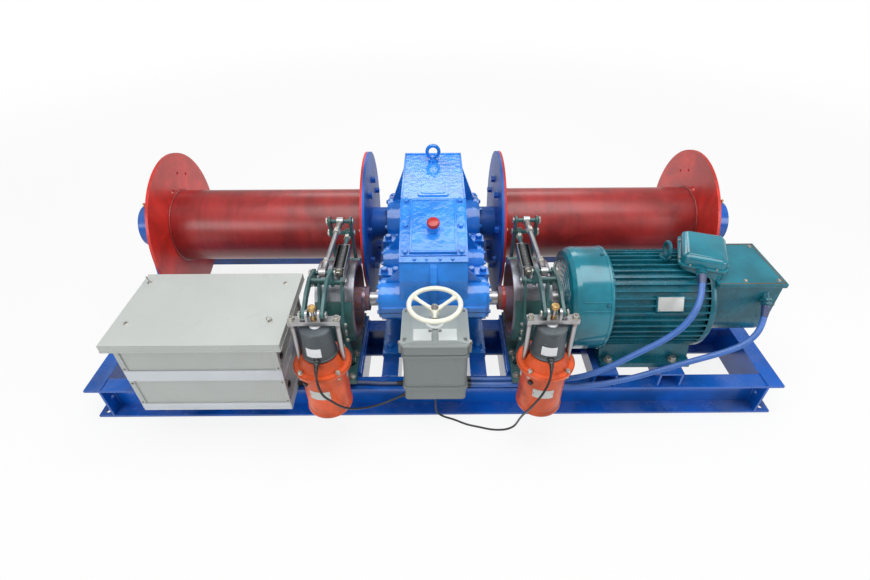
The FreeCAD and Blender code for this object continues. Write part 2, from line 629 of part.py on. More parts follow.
def reducer_pieces():
    """The reducer's case in two halves, bored for its shafts, and its cover with the vent."""
    lower, upper = lower_case(), upper_case()
    for y, radius in ((INPUT_Y, INPUT_SHAFT_R), (DRUM_Y, DRUM_SHAFT_R)):
        bore = x_disc(radius + FIT, -BOSS_OUT - 1, BOSS_OUT + 1, y, AXIS_HEIGHT)
        lower = lower.cut(bore)
        upper = upper.cut(bore)
    cover, vent = reducer_cover()
    return {"reducer_lower_case": lower, "reducer_upper_case": upper, "reducer_cover": cover,
            "reducer_vent": vent}


def bearing_caps():
    """Round caps on the reducer's bosses; those on shafts that come out are rings."""
    caps = []
    for y, radius, shaft in ((INPUT_Y, INPUT_BOSS_R, INPUT_SHAFT_R), (MIDDLE_Y, MIDDLE_BOSS_R, None),
                             (DRUM_Y, OUTPUT_BOSS_R, DRUM_SHAFT_R)):
        cap = x_disc(radius - CAP_STEP, BOSS_OUT, BOSS_OUT + CAP_THICK, y, AXIS_HEIGHT)
        if shaft:
            cap = cap.cut(x_disc(shaft + CAP_SHAFT_GAP, BOSS_OUT, BOSS_OUT + CAP_THICK, y, AXIS_HEIGHT))
        caps += [cap, mirrored(cap)]
    return {"reducer_bearing_caps": Part.makeCompound(caps)}


def brake_wheel(x_in):
    """Brake wheel with its coupling hub, right side."""
    left = WHEEL_X - WHEEL_WIDTH / 2
    right = WHEEL_X + WHEEL_WIDTH / 2
    rim = x_disc(WHEEL_R, left, right, INPUT_Y, AXIS_HEIGHT)
    rim = rim.cut(x_disc(WHEEL_R - WHEEL_RIM, left, right, INPUT_Y, AXIS_HEIGHT))
    web = x_disc(WHEEL_R - WHEEL_RIM / 2, WHEEL_X - WHEEL_WEB, WHEEL_X, INPUT_Y, AXIS_HEIGHT)
    hub = x_disc(WHEEL_HUB_R, x_in, right, INPUT_Y, AXIS_HEIGHT)
    hole = x_disc(INPUT_SHAFT_R + FIT, x_in - 1, right + 1, INPUT_Y, AXIS_HEIGHT)
    return fused([rim, web, hub]).cut(hole)


def input_pieces():
    wheel = brake_wheel(WHEEL_HUB_IN)
    end = WHEEL_X + WHEEL_WIDTH / 2
    shaft = x_disc(INPUT_SHAFT_R, -end, end, INPUT_Y, AXIS_HEIGHT)
    motor_shaft = x_disc(INPUT_SHAFT_R, end, SHAFT_IN_MOTOR, INPUT_Y, AXIS_HEIGHT)
    return {"brake_wheel_left": mirrored(wheel), "brake_wheel_right": wheel,
            "input_shaft": shaft, "motor_shaft": motor_shaft}


BRAKE_BASE_Z = CHANNEL_HEIGHT + BRAKE_PAD_THICK
ARM_PIVOT_Z = BRAKE_BASE_Z + BRAKE_BASE_THICK + ARM_PIVOT_ABOVE_BASE
THRUSTER_X = WHEEL_X + THRUSTER_OFFSET
THRUSTER_FOOT_Z = BRAKE_BASE_Z + TONGUE_RISE
SHOE_OUT = WHEEL_R + SHOE_GAP + SHOE_LINING + SHOE_BACK
FRONT_ARM_LINE = [(INPUT_Y - ARM_PIVOT_SPREAD, ARM_PIVOT_Z), (INPUT_Y - ARM_REACH, AXIS_HEIGHT - ARM_ELBOW),
                  (INPUT_Y - ARM_REACH, AXIS_HEIGHT + ARM_ELBOW), LEVER_PIVOT]
REAR_ARM_LINE = [(INPUT_Y + ARM_PIVOT_SPREAD, ARM_PIVOT_Z), (INPUT_Y + ARM_REACH, AXIS_HEIGHT - ARM_ELBOW),
                 (INPUT_Y + ARM_REACH, AXIS_HEIGHT + ARM_ELBOW), REAR_ARM_TOP_PIN]
ARM_INNER = (WHEEL_X - ARM_HALF_SPACING - ARM_PLATE, WHEEL_X - ARM_HALF_SPACING)
ARM_OUTER = (WHEEL_X + ARM_HALF_SPACING, WHEEL_X + ARM_HALF_SPACING + ARM_PLATE)


def brake_seat():
    """Two short channels between the front and middle channels, with the plate that the brake stands on."""
    mid_front = MIDDLE_CHANNEL_Y - CHANNEL_FLANGE
    span = WEB_IN_Y + mid_front
    section = turned(channel_section(span), 90, Vector(0, 0, 0), Z_AXIS)
    near = moved(section, x=BRAKE_BEARER_IN + CHANNEL_FLANGE, y=mid_front - span / 2)
    width = WHEEL_WIDTH
    far = moved(section.mirror(Vector(0, 0, 0), X_AXIS), x=BRAKE_BEARER_IN + width - CHANNEL_FLANGE,
                y=mid_front - span / 2)
    plate = box(BRAKE_BEARER_IN, BRAKE_BEARER_IN + width, PAD_FRONT, MIDDLE_CHANNEL_Y,
                CHANNEL_HEIGHT, BRAKE_BASE_Z)
    return fused([near, far, plate])


def shoe(side):
    """Brake shoe with its lining; side is -1 in front of the wheel, +1 behind it."""
    x0, x1 = WHEEL_X - SHOE_WIDTH / 2, WHEEL_X + SHOE_WIDTH / 2
    ring = x_disc(SHOE_OUT, x0, x1, INPUT_Y, AXIS_HEIGHT)
    ring = ring.cut(x_disc(WHEEL_R + SHOE_GAP, x0, x1, INPUT_Y, AXIS_HEIGHT))
    reach = 2 * SHOE_OUT
    rise = reach * math.tan(math.radians(SHOE_HALF_ANGLE))
    wedge = side_prism([(INPUT_Y, AXIS_HEIGHT), (INPUT_Y + side * reach, AXIS_HEIGHT - rise),
                        (INPUT_Y + side * reach, AXIS_HEIGHT + rise)], x0, x1)
    return ring.common(wedge)


def strap(points, width, x_range):
    """Flat bar that follows points in the Y-Z plane, with round ends and elbows."""
    x0, x1 = x_range
    parts = []
    for (y0, z0), (y1, z1) in zip(points, points[1:]):
        length = math.hypot(y1 - y0, z1 - z0)
        sy, sz = -(z1 - z0) / length * width / 2, (y1 - y0) / length * width / 2
        parts.append(side_prism([(y0 + sy, z0 + sz), (y1 + sy, z1 + sz),
                                 (y1 - sy, z1 - sz), (y0 - sy, z0 - sz)], x0, x1))
    for y, z in points:
        parts.append(x_disc(width / 2, x0, x1, y, z))
    return fused(parts)


def arm(line, side):
    """Brake arm: two plates, the shoe between them on its block, and a hole at the foot pin."""
    pieces = []
    for x_range in (ARM_INNER, ARM_OUTER):
        pieces.append(strap(line, ARM_WIDTH, x_range))
    block_y = INPUT_Y + side * (SHOE_OUT + ARM_REACH) / 2
    half = (ARM_REACH - SHOE_OUT) / 2 + 4
    pieces.append(box(ARM_INNER[1] - 1, ARM_OUTER[0] + 1, block_y - half, block_y + half,
                      AXIS_HEIGHT - SHOE_BLOCK_HALF, AXIS_HEIGHT + SHOE_BLOCK_HALF))
    pieces.append(shoe(side))
    hole = x_disc(ARM_PIN_R + FIT, ARM_INNER[0] - 1, ARM_OUTER[1] + 1, *line[0])
    return fused(pieces).cut(hole)


def brake_base():
    """Base casting with the two foot pins, and the tongue in front that carries the thruster."""
    half = BRAKE_BASE_WIDTH / 2
    plate = box(WHEEL_X - half, WHEEL_X + half, BASE_FRONT, MIDDLE_CHANNEL_Y - BASE_REAR_GAP,
                BRAKE_BASE_Z, BRAKE_BASE_Z + BRAKE_BASE_THICK)
    pieces = [plate]
    for line in (FRONT_ARM_LINE, REAR_ARM_LINE):
        y, z = line[0]
        pieces.append(side_prism([(y - FOOT_HALF, BRAKE_BASE_Z), (y + FOOT_HALF, BRAKE_BASE_Z),
                                  (y + FOOT_TOP_HALF, z + FOOT_ABOVE_PIN),
                                  (y - FOOT_TOP_HALF, z + FOOT_ABOVE_PIN)], ARM_INNER[1] + 1, ARM_OUTER[0] - 1))
        pieces.append(x_disc(ARM_PIN_R, ARM_INNER[0] - ARM_PIN_OUT, ARM_OUTER[1] + ARM_PIN_OUT, y, z))
    pieces.append(box(THRUSTER_X - TONGUE_WIDTH / 2, THRUSTER_X + TONGUE_WIDTH / 2,
                      THRUSTER_Y - TONGUE_PAST_THRUSTER, BASE_FRONT + TONGUE_REAR,
                      THRUSTER_FOOT_Z - TONGUE_THICK, THRUSTER_FOOT_Z))
    base = fused(pieces)
    relief = []
    for line in (FRONT_ARM_LINE, REAR_ARM_LINE):
        y, z = line[0]
        for x_range in (ARM_INNER, ARM_OUTER):
            relief.append(x_disc(ARM_WIDTH / 2 + FOOT_PIN_GAP, x_range[0] - 1, x_range[1] + 1, y, z).cut(
                x_disc(ARM_PIN_R, x_range[0] - 2, x_range[1] + 2, y, z)))
    for piece in relief:
        base = base.cut(piece)
    return base


def lever():
    """Bell-crank lever of two curved plates with the pin that pushes the pull rod."""
    (ay, az), (by, bz), (cy, cz) = LEVER_PIVOT, LEVER_TOP_PIN, LEVER_FRONT_PIN
    pieces = []
    for x0 in (THRUSTER_X - LEVER_HALF_SPACING - LEVER_PLATE, THRUSTER_X + LEVER_HALF_SPACING):
        x_range = (x0, x0 + LEVER_PLATE)
        crest = ((2 * by + cy) / 3, bz + LEVER_ARCH)
        front = ((by + 2 * cy) / 3, (bz + cz) / 2 + LEVER_ARCH)
        plate = fused([strap([LEVER_TOP_PIN, crest, front, LEVER_FRONT_PIN], LEVER_WIDTH, x_range),
                       strap([LEVER_PIVOT, LEVER_TOP_PIN], LEVER_WIDTH + 4, x_range),
                       strap([LEVER_PIVOT, crest], LEVER_WIDTH - 8, x_range)])
        plate = plate.cut(x_disc(ARM_PIN_R + FIT, x_range[0], x_range[1], ay, az))
        pieces.append(plate)
    left = THRUSTER_X - LEVER_HALF_SPACING - LEVER_PLATE
    right = THRUSTER_X + LEVER_HALF_SPACING + LEVER_PLATE
    pieces.append(x_disc(TOP_PIN_R, left - 5, right + 5, by, bz))
    pieces.append(x_disc(TOP_PIN_R, left + 1, right - 1, (2 * by + cy) / 3, bz + LEVER_ARCH))
    lug = LEVER_HALF_SPACING - LUG_THICK - 2
    pieces.append(x_disc(FRONT_PIN_R, left - 5, THRUSTER_X - lug, cy, cz))
    pieces.append(x_disc(FRONT_PIN_R, THRUSTER_X + lug, right + 5, cy, cz))
    return fused(pieces)


def crosshead():
    """Bar on two push rods, with the slotted lugs that take the lever's pins."""
    x0, x1 = THRUSTER_X - CROSSHEAD_HALF_LENGTH, THRUSTER_X + CROSSHEAD_HALF_LENGTH
    top = CROSSHEAD_Z + CROSSHEAD_THICK
    half = CROSSHEAD_DEPTH / 2
    pieces = [box(x0, x1, THRUSTER_Y - half, THRUSTER_Y + half, CROSSHEAD_Z, top)]
    for side in (-1, 1):
        x = THRUSTER_X + side * PUSH_ROD_SPACING
        pieces.append(rod(PUSH_ROD_R, (x, THRUSTER_Y, ROD_BOTTOM_Z), (x, THRUSTER_Y, CROSSHEAD_Z)))
        lug_x = THRUSTER_X + side * (LEVER_HALF_SPACING - LUG_THICK / 2 - 1)
        cy, cz = LEVER_FRONT_PIN
        lug = fused([x_disc(CROSSHEAD_LUG_R, lug_x - LUG_THICK / 2, lug_x + LUG_THICK / 2, cy, cz),
                     box(lug_x - LUG_THICK / 2, lug_x + LUG_THICK / 2, cy - CROSSHEAD_LUG_R,
                         cy + CROSSHEAD_LUG_R, top - 1, cz)])
        slot_r = FRONT_PIN_R + LUG_SLOT_GAP
        slot = fused([x_disc(slot_r, lug_x - LUG_THICK, lug_x + LUG_THICK, cy, cz),
                      x_disc(slot_r, lug_x - LUG_THICK, lug_x + LUG_THICK, cy + LUG_SLOT_LENGTH, cz)])
        pieces.append(lug.cut(slot))
    knob_top = LEVER_FRONT_PIN[1] + KNOB_ABOVE_PIN
    pieces.append(rod(KNOB_STEM_R, (THRUSTER_X, THRUSTER_Y, top - 1), (THRUSTER_X, THRUSTER_Y, knob_top)))
    pieces.append(rod(KNOB_R, (THRUSTER_X, THRUSTER_Y, knob_top - KNOB_HEIGHT), (THRUSTER_X, THRUSTER_Y, knob_top)))
    return fused(pieces)


def thruster():
    """Thruster: body with flange and collar on the base's tongue, and the tapered motor head on it."""
    centre = Vector(THRUSTER_X, THRUSTER_Y, 0)
    flange_top = THRUSTER_FLANGE_Z + THRUSTER_FLANGE_THICK
    top = flange_top + THRUSTER_COLLAR_HEIGHT
    body_height = THRUSTER_FLANGE_Z - THRUSTER_FOOT_Z
    body = fused([Part.makeCylinder(THRUSTER_R, body_height, centre + Vector(0, 0, THRUSTER_FOOT_Z)),
                  Part.makeCylinder(THRUSTER_FLANGE_R, THRUSTER_FLANGE_THICK,
                                    centre + Vector(0, 0, THRUSTER_FLANGE_Z)),
                  Part.makeCone(THRUSTER_COLLAR_R, THRUSTER_COLLAR_TOP_R, THRUSTER_COLLAR_HEIGHT,
                                centre + Vector(0, 0, flange_top))])
    head = Part.makeCone(HEAD_BOTTOM_R, HEAD_TOP_R, HEAD_TOP_Z - top, centre + Vector(0, 0, top))
    gland_z = top + HEAD_GLAND_ABOVE_COLLAR
    head = fused([head, rod(HEAD_GLAND_R, (THRUSTER_X, THRUSTER_Y - HEAD_TOP_R, gland_z),
                            (THRUSTER_X, THRUSTER_Y - HEAD_BOTTOM_R - HEAD_GLAND_OUT,
                             gland_z - HEAD_GLAND_DROP))])
    for side in (-1, 1):
        x = THRUSTER_X + side * PUSH_ROD_SPACING
        body = body.cut(rod(PUSH_ROD_R + FIT, (x, THRUSTER_Y, ROD_BOTTOM_Z - ROD_ROOM), (x, THRUSTER_Y, top)))
        body = body.cut(rod(PUSH_ROD_R + ROD_ROOM, (x, THRUSTER_Y, flange_top + ROD_ROOM), (x, THRUSTER_Y, top)))
        head = head.cut(rod(PUSH_ROD_R + ROD_ROOM, (x, THRUSTER_Y, top - 1), (x, THRUSTER_Y, HEAD_TOP_Z + 1)))
    return body, head


def pull_rod():
    """Rod from the pin on the rear arm to the lever's top pin, with an eye at each end."""
    ty, tz = REAR_ARM_TOP_PIN
    by, bz = LEVER_TOP_PIN
    x0, x1 = WHEEL_X, THRUSTER_X
    bar = rod(PULL_ROD_R, (x0, ty, tz), (x1, by, bz))
    eye_rear = x_disc(EYE_R, x0 - EYE_HALF, x0 + EYE_HALF, ty, tz)
    eye_front = x_disc(EYE_R, x1 - EYE_HALF, x1 + EYE_HALF, by, bz)
    whole = fused([bar, eye_rear, eye_front])
    whole = whole.cut(x_disc(TOP_PIN_R + FIT, x0 - 30, x0 + 30, ty, tz))
    return whole.cut(x_disc(TOP_PIN_R + OPEN_PIVOT_GAP, x1 - 30, x1 + 30, by, bz))


def spring_unit():
    """Closing spring in a bracket that hangs on the front arm's top pin, beside the arm's inner plate."""
    y0, y1 = SPRING_FRONT_Y, SPRING_REAR_Y
    x = WHEEL_X - SPRING_OFFSET
    x0, x1 = ARM_INNER[0] - SPRING_SIDE, 2 * x - ARM_INNER[0]
    z0, z1 = SPRING_Z - SPRING_BRACKET_HALF, SPRING_Z + SPRING_BRACKET_HALF
    tube = Part.makeCylinder(SPRING_R, y1 - y0, Vector(x, y0, SPRING_Z), Y_AXIS)
    plates = [box(x0, x0 + SPRING_SIDE, y0, y1, z0, z1),
              box(x1, x1 + SPRING_SIDE, y0, y1, z0, z1),
              box(x0, x1 + SPRING_SIDE, y1 - SPRING_END, y1, z0, z1),
              box(x0, x1 + SPRING_SIDE, y0, y0 + SPRING_END, z0, z1),
              strap([LEVER_PIVOT, (y0, SPRING_Z)], 2 * SPRING_BRACKET_HALF, (x0, x0 + SPRING_SIDE))]
    bore = Part.makeCylinder(SPRING_ROD_R + SPRING_ROD_GAP, y1 - y0, Vector(x, SPRING_INNER_Y, SPRING_Z), Y_AXIS)
    pin = x_disc(ARM_PIN_R + FIT, x0 - 1, x0 + SPRING_SIDE + 1, *LEVER_PIVOT)
    return fused([tube] + plates).cut(bore).cut(pin)


def brake_pieces():
    """One brake, right side: seat, base, two arms, lever, rods, spring and thruster."""
    front = arm(FRONT_ARM_LINE, -1)
    ay, az = LEVER_PIVOT
    front = fused([front, x_disc(ARM_PIN_R, ARM_INNER[0] - 10, THRUSTER_X + LEVER_HALF_SPACING + LEVER_PLATE + 6,
                                 ay, az)])
    x = WHEEL_X - SPRING_OFFSET
    rear = arm(REAR_ARM_LINE, 1)
    ty, tz = REAR_ARM_TOP_PIN
    sy = SPRING_PIN_Y
    rear_pieces = [rear, x_disc(TOP_PIN_R, ARM_INNER[0] - ARM_PIN_OUT, ARM_OUTER[1] + ARM_PIN_OUT, ty, tz),
                   x_disc(TOP_PIN_R, ARM_INNER[0] - ARM_PIN_OUT, ARM_OUTER[1] + ARM_PIN_OUT, sy, SPRING_Z),
                   x_disc(EYE_R, x - EYE_HALF, x + EYE_HALF, sy, SPRING_Z),
                   rod(SPRING_ROD_R, (x, sy, SPRING_Z), (x, SPRING_INNER_Y + SPRING_ROD_END_GAP, SPRING_Z))]
    body, head = thruster()
    pieces = {"brake_base": brake_base(), "brake_front_arm": front,
              "brake_rear_arm": fused(rear_pieces), "brake_lever": lever(), "brake_pull_rod": pull_rod(),
              "brake_spring": spring_unit(), "thruster_crosshead": crosshead(),
              "thruster_body": body, "thruster_head": head}
    both = {"brake_seats": pair(brake_seat())}
    for name, shape in pieces.items():
        both[name + "_right"] = shape
        both[name + "_left"] = mirrored(shape)
    return both


def motor_body():
    """Finned motor frame on its feet, with the shaft's hole in front."""
    pieces = [x_disc(MOTOR_R - FIN_HEIGHT, COWL_END, MOTOR_BODY_END, MOTOR_Y, AXIS_HEIGHT),
              x_disc(MOTOR_R - MOTOR_END_STEP, MOTOR_BODY_END - MOTOR_END_RING, MOTOR_BODY_END,
                     MOTOR_Y, AXIS_HEIGHT)]
    for index in range(FIN_COUNT):
        angle = 360.0 / FIN_COUNT * (index + 0.5)
        fin = box(COWL_END, MOTOR_BODY_END - MOTOR_END_RING, MOTOR_Y - FIN_THICK / 2, MOTOR_Y + FIN_THICK / 2,
                  AXIS_HEIGHT + MOTOR_R - FIN_HEIGHT - 6, AXIS_HEIGHT + MOTOR_R)
        pieces.append(turned(fin, angle, Vector(COWL_END, MOTOR_Y, AXIS_HEIGHT), X_AXIS))
    foot_z = CHANNEL_HEIGHT + MOTOR_SUPPORT_HEIGHT
    rise = 0.6 * MOTOR_R
    for side in (-1, 1):
        inner = MOTOR_Y + side * 0.48 * MOTOR_R
        outer = MOTOR_Y + side * MOTOR_FEET_HALF
        outline = [(outer, foot_z), (inner, foot_z), (inner, AXIS_HEIGHT - rise),
                   (MOTOR_Y + side * 0.69 * MOTOR_R, AXIS_HEIGHT - 0.9 * rise),
                   (MOTOR_Y + side * 0.8 * MOTOR_R, foot_z + MOTOR_FOOT_THICK), (outer, foot_z + MOTOR_FOOT_THICK)]
        pieces.append(side_prism(outline, MOTOR_FEET_START, MOTOR_FEET_END))
    body = fused(pieces)
    return body.cut(x_disc(INPUT_SHAFT_R + FIT, COWL_END - 1, SHAFT_IN_MOTOR + 6, MOTOR_Y, AXIS_HEIGHT))


def cowl():
    """Round cowl over the fan at the drive end, its front edge rounded in steps, open round the shaft."""
    outline = [(COWL_END, COWL_HOLE_R), (COWL_START, COWL_HOLE_R)]
    for step in range(COWL_ROUND_STEPS + 1):
        angle = math.radians(90 * step / COWL_ROUND_STEPS)
        outline.append((COWL_START + COWL_ROUND * (1 - math.sin(angle)),
                        COWL_R - COWL_ROUND * (1 - math.cos(angle))))
    outline[2:] = reversed(outline[2:])
    outline.append((COWL_END, COWL_R))
    corners = [Vector(x, 0, r) for x, r in outline]
    face = Part.Face(Part.makePolygon(corners + corners[:1]))
    return moved(face.revolve(Vector(0, 0, 0), X_AXIS, 360), y=MOTOR_Y, z=AXIS_HEIGHT)


def ring_box():
    """Slip-ring housing behind the motor, round below and flat on top, with its gland, and the lid."""
    drum = x_disc(RING_BOX_HALF, MOTOR_BODY_END, RING_BOX_END, MOTOR_Y, AXIS_HEIGHT)
    top = box(MOTOR_BODY_END, RING_BOX_END, MOTOR_Y - RING_BOX_HALF, MOTOR_Y + RING_BOX_HALF,
              AXIS_HEIGHT, RING_BOX_TOP)
    lid = box(MOTOR_BODY_END + RING_LID_GAP, RING_BOX_END + RING_LID_LIP,
              MOTOR_Y - RING_BOX_HALF - RING_LID_LIP, MOTOR_Y + RING_BOX_HALF + RING_LID_LIP,
              RING_BOX_TOP, RING_BOX_TOP + RING_LID_THICK)
    gland_z = AXIS_HEIGHT + RING_GLAND_ABOVE_AXIS
    face = MOTOR_Y - RING_BOX_HALF
    step = GLAND_LENGTH * math.sqrt(0.5)
    gland = rod(GLAND_R, (RING_GLAND_X, face + GLAND_R, gland_z + GLAND_R),
                (RING_GLAND_X, face - step, gland_z - step))
    return fused([drum, top, gland]), lid


def terminal_box():
    """Turned terminal box on the motor, with its rounded lid."""
    half_x, half_y = TERMINAL_LENGTH / 2, TERMINAL_DEPTH / 2
    body = rounded_block(-half_x, half_x, -half_y, half_y, TERMINAL_BOTTOM, TERMINAL_TOP, TERMINAL_ROUND)
    lip_z = TERMINAL_TOP - TERMINAL_LID_THICK - TERMINAL_LIP
    lip = rounded_block(-half_x - TERMINAL_LIP, half_x + TERMINAL_LIP, -half_y - TERMINAL_LIP,
                        half_y + TERMINAL_LIP, lip_z, lip_z + TERMINAL_LIP, TERMINAL_ROUND)
    gland_z = TERMINAL_BOTTOM + GLAND_ABOVE_BOTTOM
    gland = rod(GLAND_R, (0, 0, gland_z), (0, -half_y - GLAND_LENGTH, gland_z))
    whole = fused([body, lip, gland])
    whole.rotate(Vector(0, 0, 0), Z_AXIS, TERMINAL_TURN)
    whole.translate(Vector(TERMINAL_X, TERMINAL_Y, 0))
    motor = x_disc(MOTOR_R + BOX_CLEARANCE, COWL_END, MOTOR_BODY_END, MOTOR_Y, AXIS_HEIGHT)
    ring, lid = ring_box()
    return whole.cut(motor).cut(ring).cut(lid)


def motor_supports():
    """Two inverted channels from the front channel to the middle one, under the motor's feet."""
    rails = []
    for x in MOTOR_SUPPORT_X:
        half = MOTOR_SUPPORT_WIDTH / 2
        y0, y1 = -FRAME_DEPTH / 2 + 6, MIDDLE_CHANNEL_Y
        top = CHANNEL_HEIGHT + MOTOR_SUPPORT_HEIGHT
        rail = box(x - half, x + half, y0, y1, CHANNEL_HEIGHT, top)
        inside = box(x - half + SUPPORT_WALL, x + half - SUPPORT_WALL, y0, y1, CHANNEL_HEIGHT,
                     top - SUPPORT_WALL)
        rails.append(rail.cut(inside))
    return Part.makeCompound(rails)


def motor_pieces():
    ring, lid = ring_box()
    eye = lifting_eye(MOTOR_EYE_R, MOTOR_EYE_BAR, (MOTOR_EYE_X, MOTOR_Y, AXIS_HEIGHT + MOTOR_R - 1), X_AXIS)
    return {"motor_frame": fused([motor_body(), eye]), "motor_cowl": cowl(), "slip_ring_housing": ring,
            "slip_ring_lid": lid, "terminal_box": terminal_box(), "motor_supports": motor_supports()}


def controller_level(out, z0, z1):
    """Slice of the controller's rounded body, its sides moved out."""
    half = CONTROLLER_WIDTH / 2 + out
    return rounded_block(CONTROLLER_X - half, CONTROLLER_X + half, CONTROLLER_FRONT - out,
                         CONTROLLER_FRONT + CONTROLLER_DEPTH + out, z0, z1, CONTROLLER_ROUND)


CONTROLLER_Y = CONTROLLER_FRONT + CONTROLLER_DEPTH / 2
LID_TOP = CONTROLLER_TOP + LID_THICK
SPINDLE_BOTTOM = CONTROLLER_TOP + SPINDLE_FOOT


def controller_body():
    """Body with the collar under the lid, two ridges round it and an ear on each side."""
    pieces = [controller_level(0, CHANNEL_HEIGHT, CONTROLLER_TOP),
              controller_level(COLLAR_OUT, CONTROLLER_TOP - COLLAR_HEIGHT, CONTROLLER_TOP)]
    for z in RIDGE_PLACES:
        pieces.append(controller_level(RIDGE_OUT, z, z + RIDGE_HEIGHT))
    half = CONTROLLER_WIDTH / 2 + EAR_OUT
    ear_y = [CONTROLLER_FRONT + back for back in EAR_FROM_FRONT]
    ear_z = [CONTROLLER_TOP - down for down in EAR_FROM_TOP]
    pieces.append(box(CONTROLLER_X - half, CONTROLLER_X + half, *ear_y, *ear_z))
    return fused(pieces)


def controller_lid():
    """Lid whose sides slope from its crown, grooved in front of the spindle's boss."""
    half = CONTROLLER_WIDTH / 2 + LID_LIP - LID_STEP
    edge_z = CONTROLLER_TOP + LID_EDGE
    y0 = CONTROLLER_FRONT - LID_LIP + LID_STEP
    y1 = CONTROLLER_FRONT + CONTROLLER_DEPTH + LID_LIP - LID_STEP
    corners = [Vector(CONTROLLER_X + x, y0, z) for x, z in
               ((-half, edge_z - 1), (half, edge_z - 1), (half, edge_z), (LID_CROWN_HALF, LID_TOP),
                (-LID_CROWN_HALF, LID_TOP), (-half, edge_z))]
    crown = Part.Face(Part.makePolygon(corners + corners[:1])).extrude(Vector(0, y1 - y0, 0))
    groove = box(CONTROLLER_X - LID_GROOVE_HALF, CONTROLLER_X + LID_GROOVE_HALF, y0, CONTROLLER_Y,
                 LID_TOP - LID_GROOVE_DEPTH, LID_TOP)
    boss = rod(LID_BOSS_R, (CONTROLLER_X, CONTROLLER_Y, LID_TOP - LID_GROOVE_DEPTH),
               (CONTROLLER_X, CONTROLLER_Y, LID_TOP + LID_BOSS_HEIGHT))
    bore = rod(SPINDLE_R + FIT, (CONTROLLER_X, CONTROLLER_Y, SPINDLE_BOTTOM),
               (CONTROLLER_X, CONTROLLER_Y, LID_TOP + LID_BOSS_HEIGHT + 1))
    lid = fused([controller_level(LID_LIP, CONTROLLER_TOP, edge_z), crown])
    return fused([lid.cut(groove), boss]).cut(bore)


def handwheel():
    """Dished handwheel of three spokes on its spindle."""
    hub_z = HANDWHEEL_Z - HANDWHEEL_DISH
    reach = HANDWHEEL_R - HANDWHEEL_RIM
    pieces = [bar_ring(reach, HANDWHEEL_RIM, (CONTROLLER_X, CONTROLLER_Y, HANDWHEEL_Z), Z_AXIS),
              rod(HANDWHEEL_HUB_R, (CONTROLLER_X, CONTROLLER_Y, hub_z - HANDWHEEL_HUB_HALF),
                  (CONTROLLER_X, CONTROLLER_Y, hub_z + HANDWHEEL_HUB_HALF)),
              rod(SPINDLE_R, (CONTROLLER_X, CONTROLLER_Y, SPINDLE_BOTTOM + SPINDLE_FOOT_GAP),
                  (CONTROLLER_X, CONTROLLER_Y, hub_z))]
    for degrees in (-90, 30, 150):
        along = Vector(math.cos(math.radians(degrees)), math.sin(math.radians(degrees)), 0)
        start = Vector(CONTROLLER_X, CONTROLLER_Y, hub_z) + along * SPOKE_START
        end = Vector(CONTROLLER_X, CONTROLLER_Y, HANDWHEEL_Z) + along * reach
        pieces.append(rod(SPOKE_R, start, end))
    return fused(pieces)


def controller_pieces():
    return {"controller_body": controller_body(), "controller_lid": controller_lid(),
            "controller_handwheel": handwheel()}


def resistor_pieces():
    """Resistor box on the front channel, two tiers of recessed panels on each side, and its sheet cover."""
    x0, x1, y0, y1 = BOX_BODY
    body = box(x0, x1, y0, y1, CHANNEL_HEIGHT, BOX_TOP)
    for z0, z1 in PANELS:
        long_side = box(x0 + PANEL_SIDE, x1 - PANEL_SIDE, y0, y0 + PANEL_RECESS, z0, z1)
        short_side = box(x0, x0 + PANEL_RECESS, y0 + PANEL_SIDE, y1 - PANEL_SIDE, z0, z1)
        body = body.cut(long_side).cut(moved(long_side, y=y1 - y0 - PANEL_RECESS))
        body = body.cut(short_side).cut(moved(short_side, x=x1 - x0 - PANEL_RECESS))
    cx0, cx1, cy0, cy1 = COVER_PLATE
    outside = box(cx0, cx1, cy0, cy1, BOX_TOP - COVER_SKIRT, BOX_TOP + COVER_SHEET)
    inside = box(cx0 + COVER_SHEET, cx1 - COVER_SHEET, cy0 + COVER_SHEET, cy1 - COVER_SHEET,
                 BOX_TOP - COVER_SKIRT, BOX_TOP)
    return {"resistor_box": body, "resistor_box_cover": outside.cut(inside)}


def cord(points, diameter):
    """Tube along points, its corners rounded by arcs that touch both runs; returns it and its smallest bend."""
    corners = [Vector(*point) for point in points]
    edges = []
    start = corners[0]
    smallest = None
    for before, here, after in zip(corners, corners[1:], corners[2:]):
        into, out = here - before, after - here
        half_turn = into.getAngle(out) / 2
        cut = CORNER_SHARE * min(into.Length, out.Length)
        radius = cut / math.tan(half_turn)
        smallest = radius if smallest is None else min(smallest, radius)
        into.normalize()
        out.normalize()
        arc_start, arc_end = here - into * cut, here + out * cut
        middle = here + (out - into).normalize() * (radius / math.cos(half_turn) - radius)
        edges.append(Part.makeLine(start, arc_start))
        edges.append(Part.Arc(arc_start, middle, arc_end).toShape())
        start = arc_end
    edges.append(Part.makeLine(start, corners[-1]))
    path = Part.Wire(edges)
    circle = Part.makeCircle(diameter / 2, corners[0], corners[1] - corners[0])
    tube = path.makePipeShell([Part.Wire([circle])], True, False)
    return tube, smallest


def cord_pieces():
    """Free cords as plain tubes; their bends are printed."""
    nodes = {}
    for name, (points, diameter) in CORDS.items():
        nodes[name], smallest = cord(points, diameter)
        print(name, "smallest bend", round(smallest / diameter, 1), "diameters")
    return nodes


def build():
    nodes = {}
    for pieces in (frame_pieces(), cross_members(), drum_pieces(), pedestal_pieces(), reducer_pieces(),
                   bearing_caps(), input_pieces(), brake_pieces(), motor_pieces(), controller_pieces(),
                   resistor_pieces(), cord_pieces()):
        nodes.update(pieces)
    return nodes


os.makedirs("parts", exist_ok=True)
all_nodes = build()
for name, shape in all_nodes.items():
    if not shape.isValid():
        print("not valid:", name)
    shape.exportStep(f"parts/{name}.step")
print(len(all_nodes), "pieces")
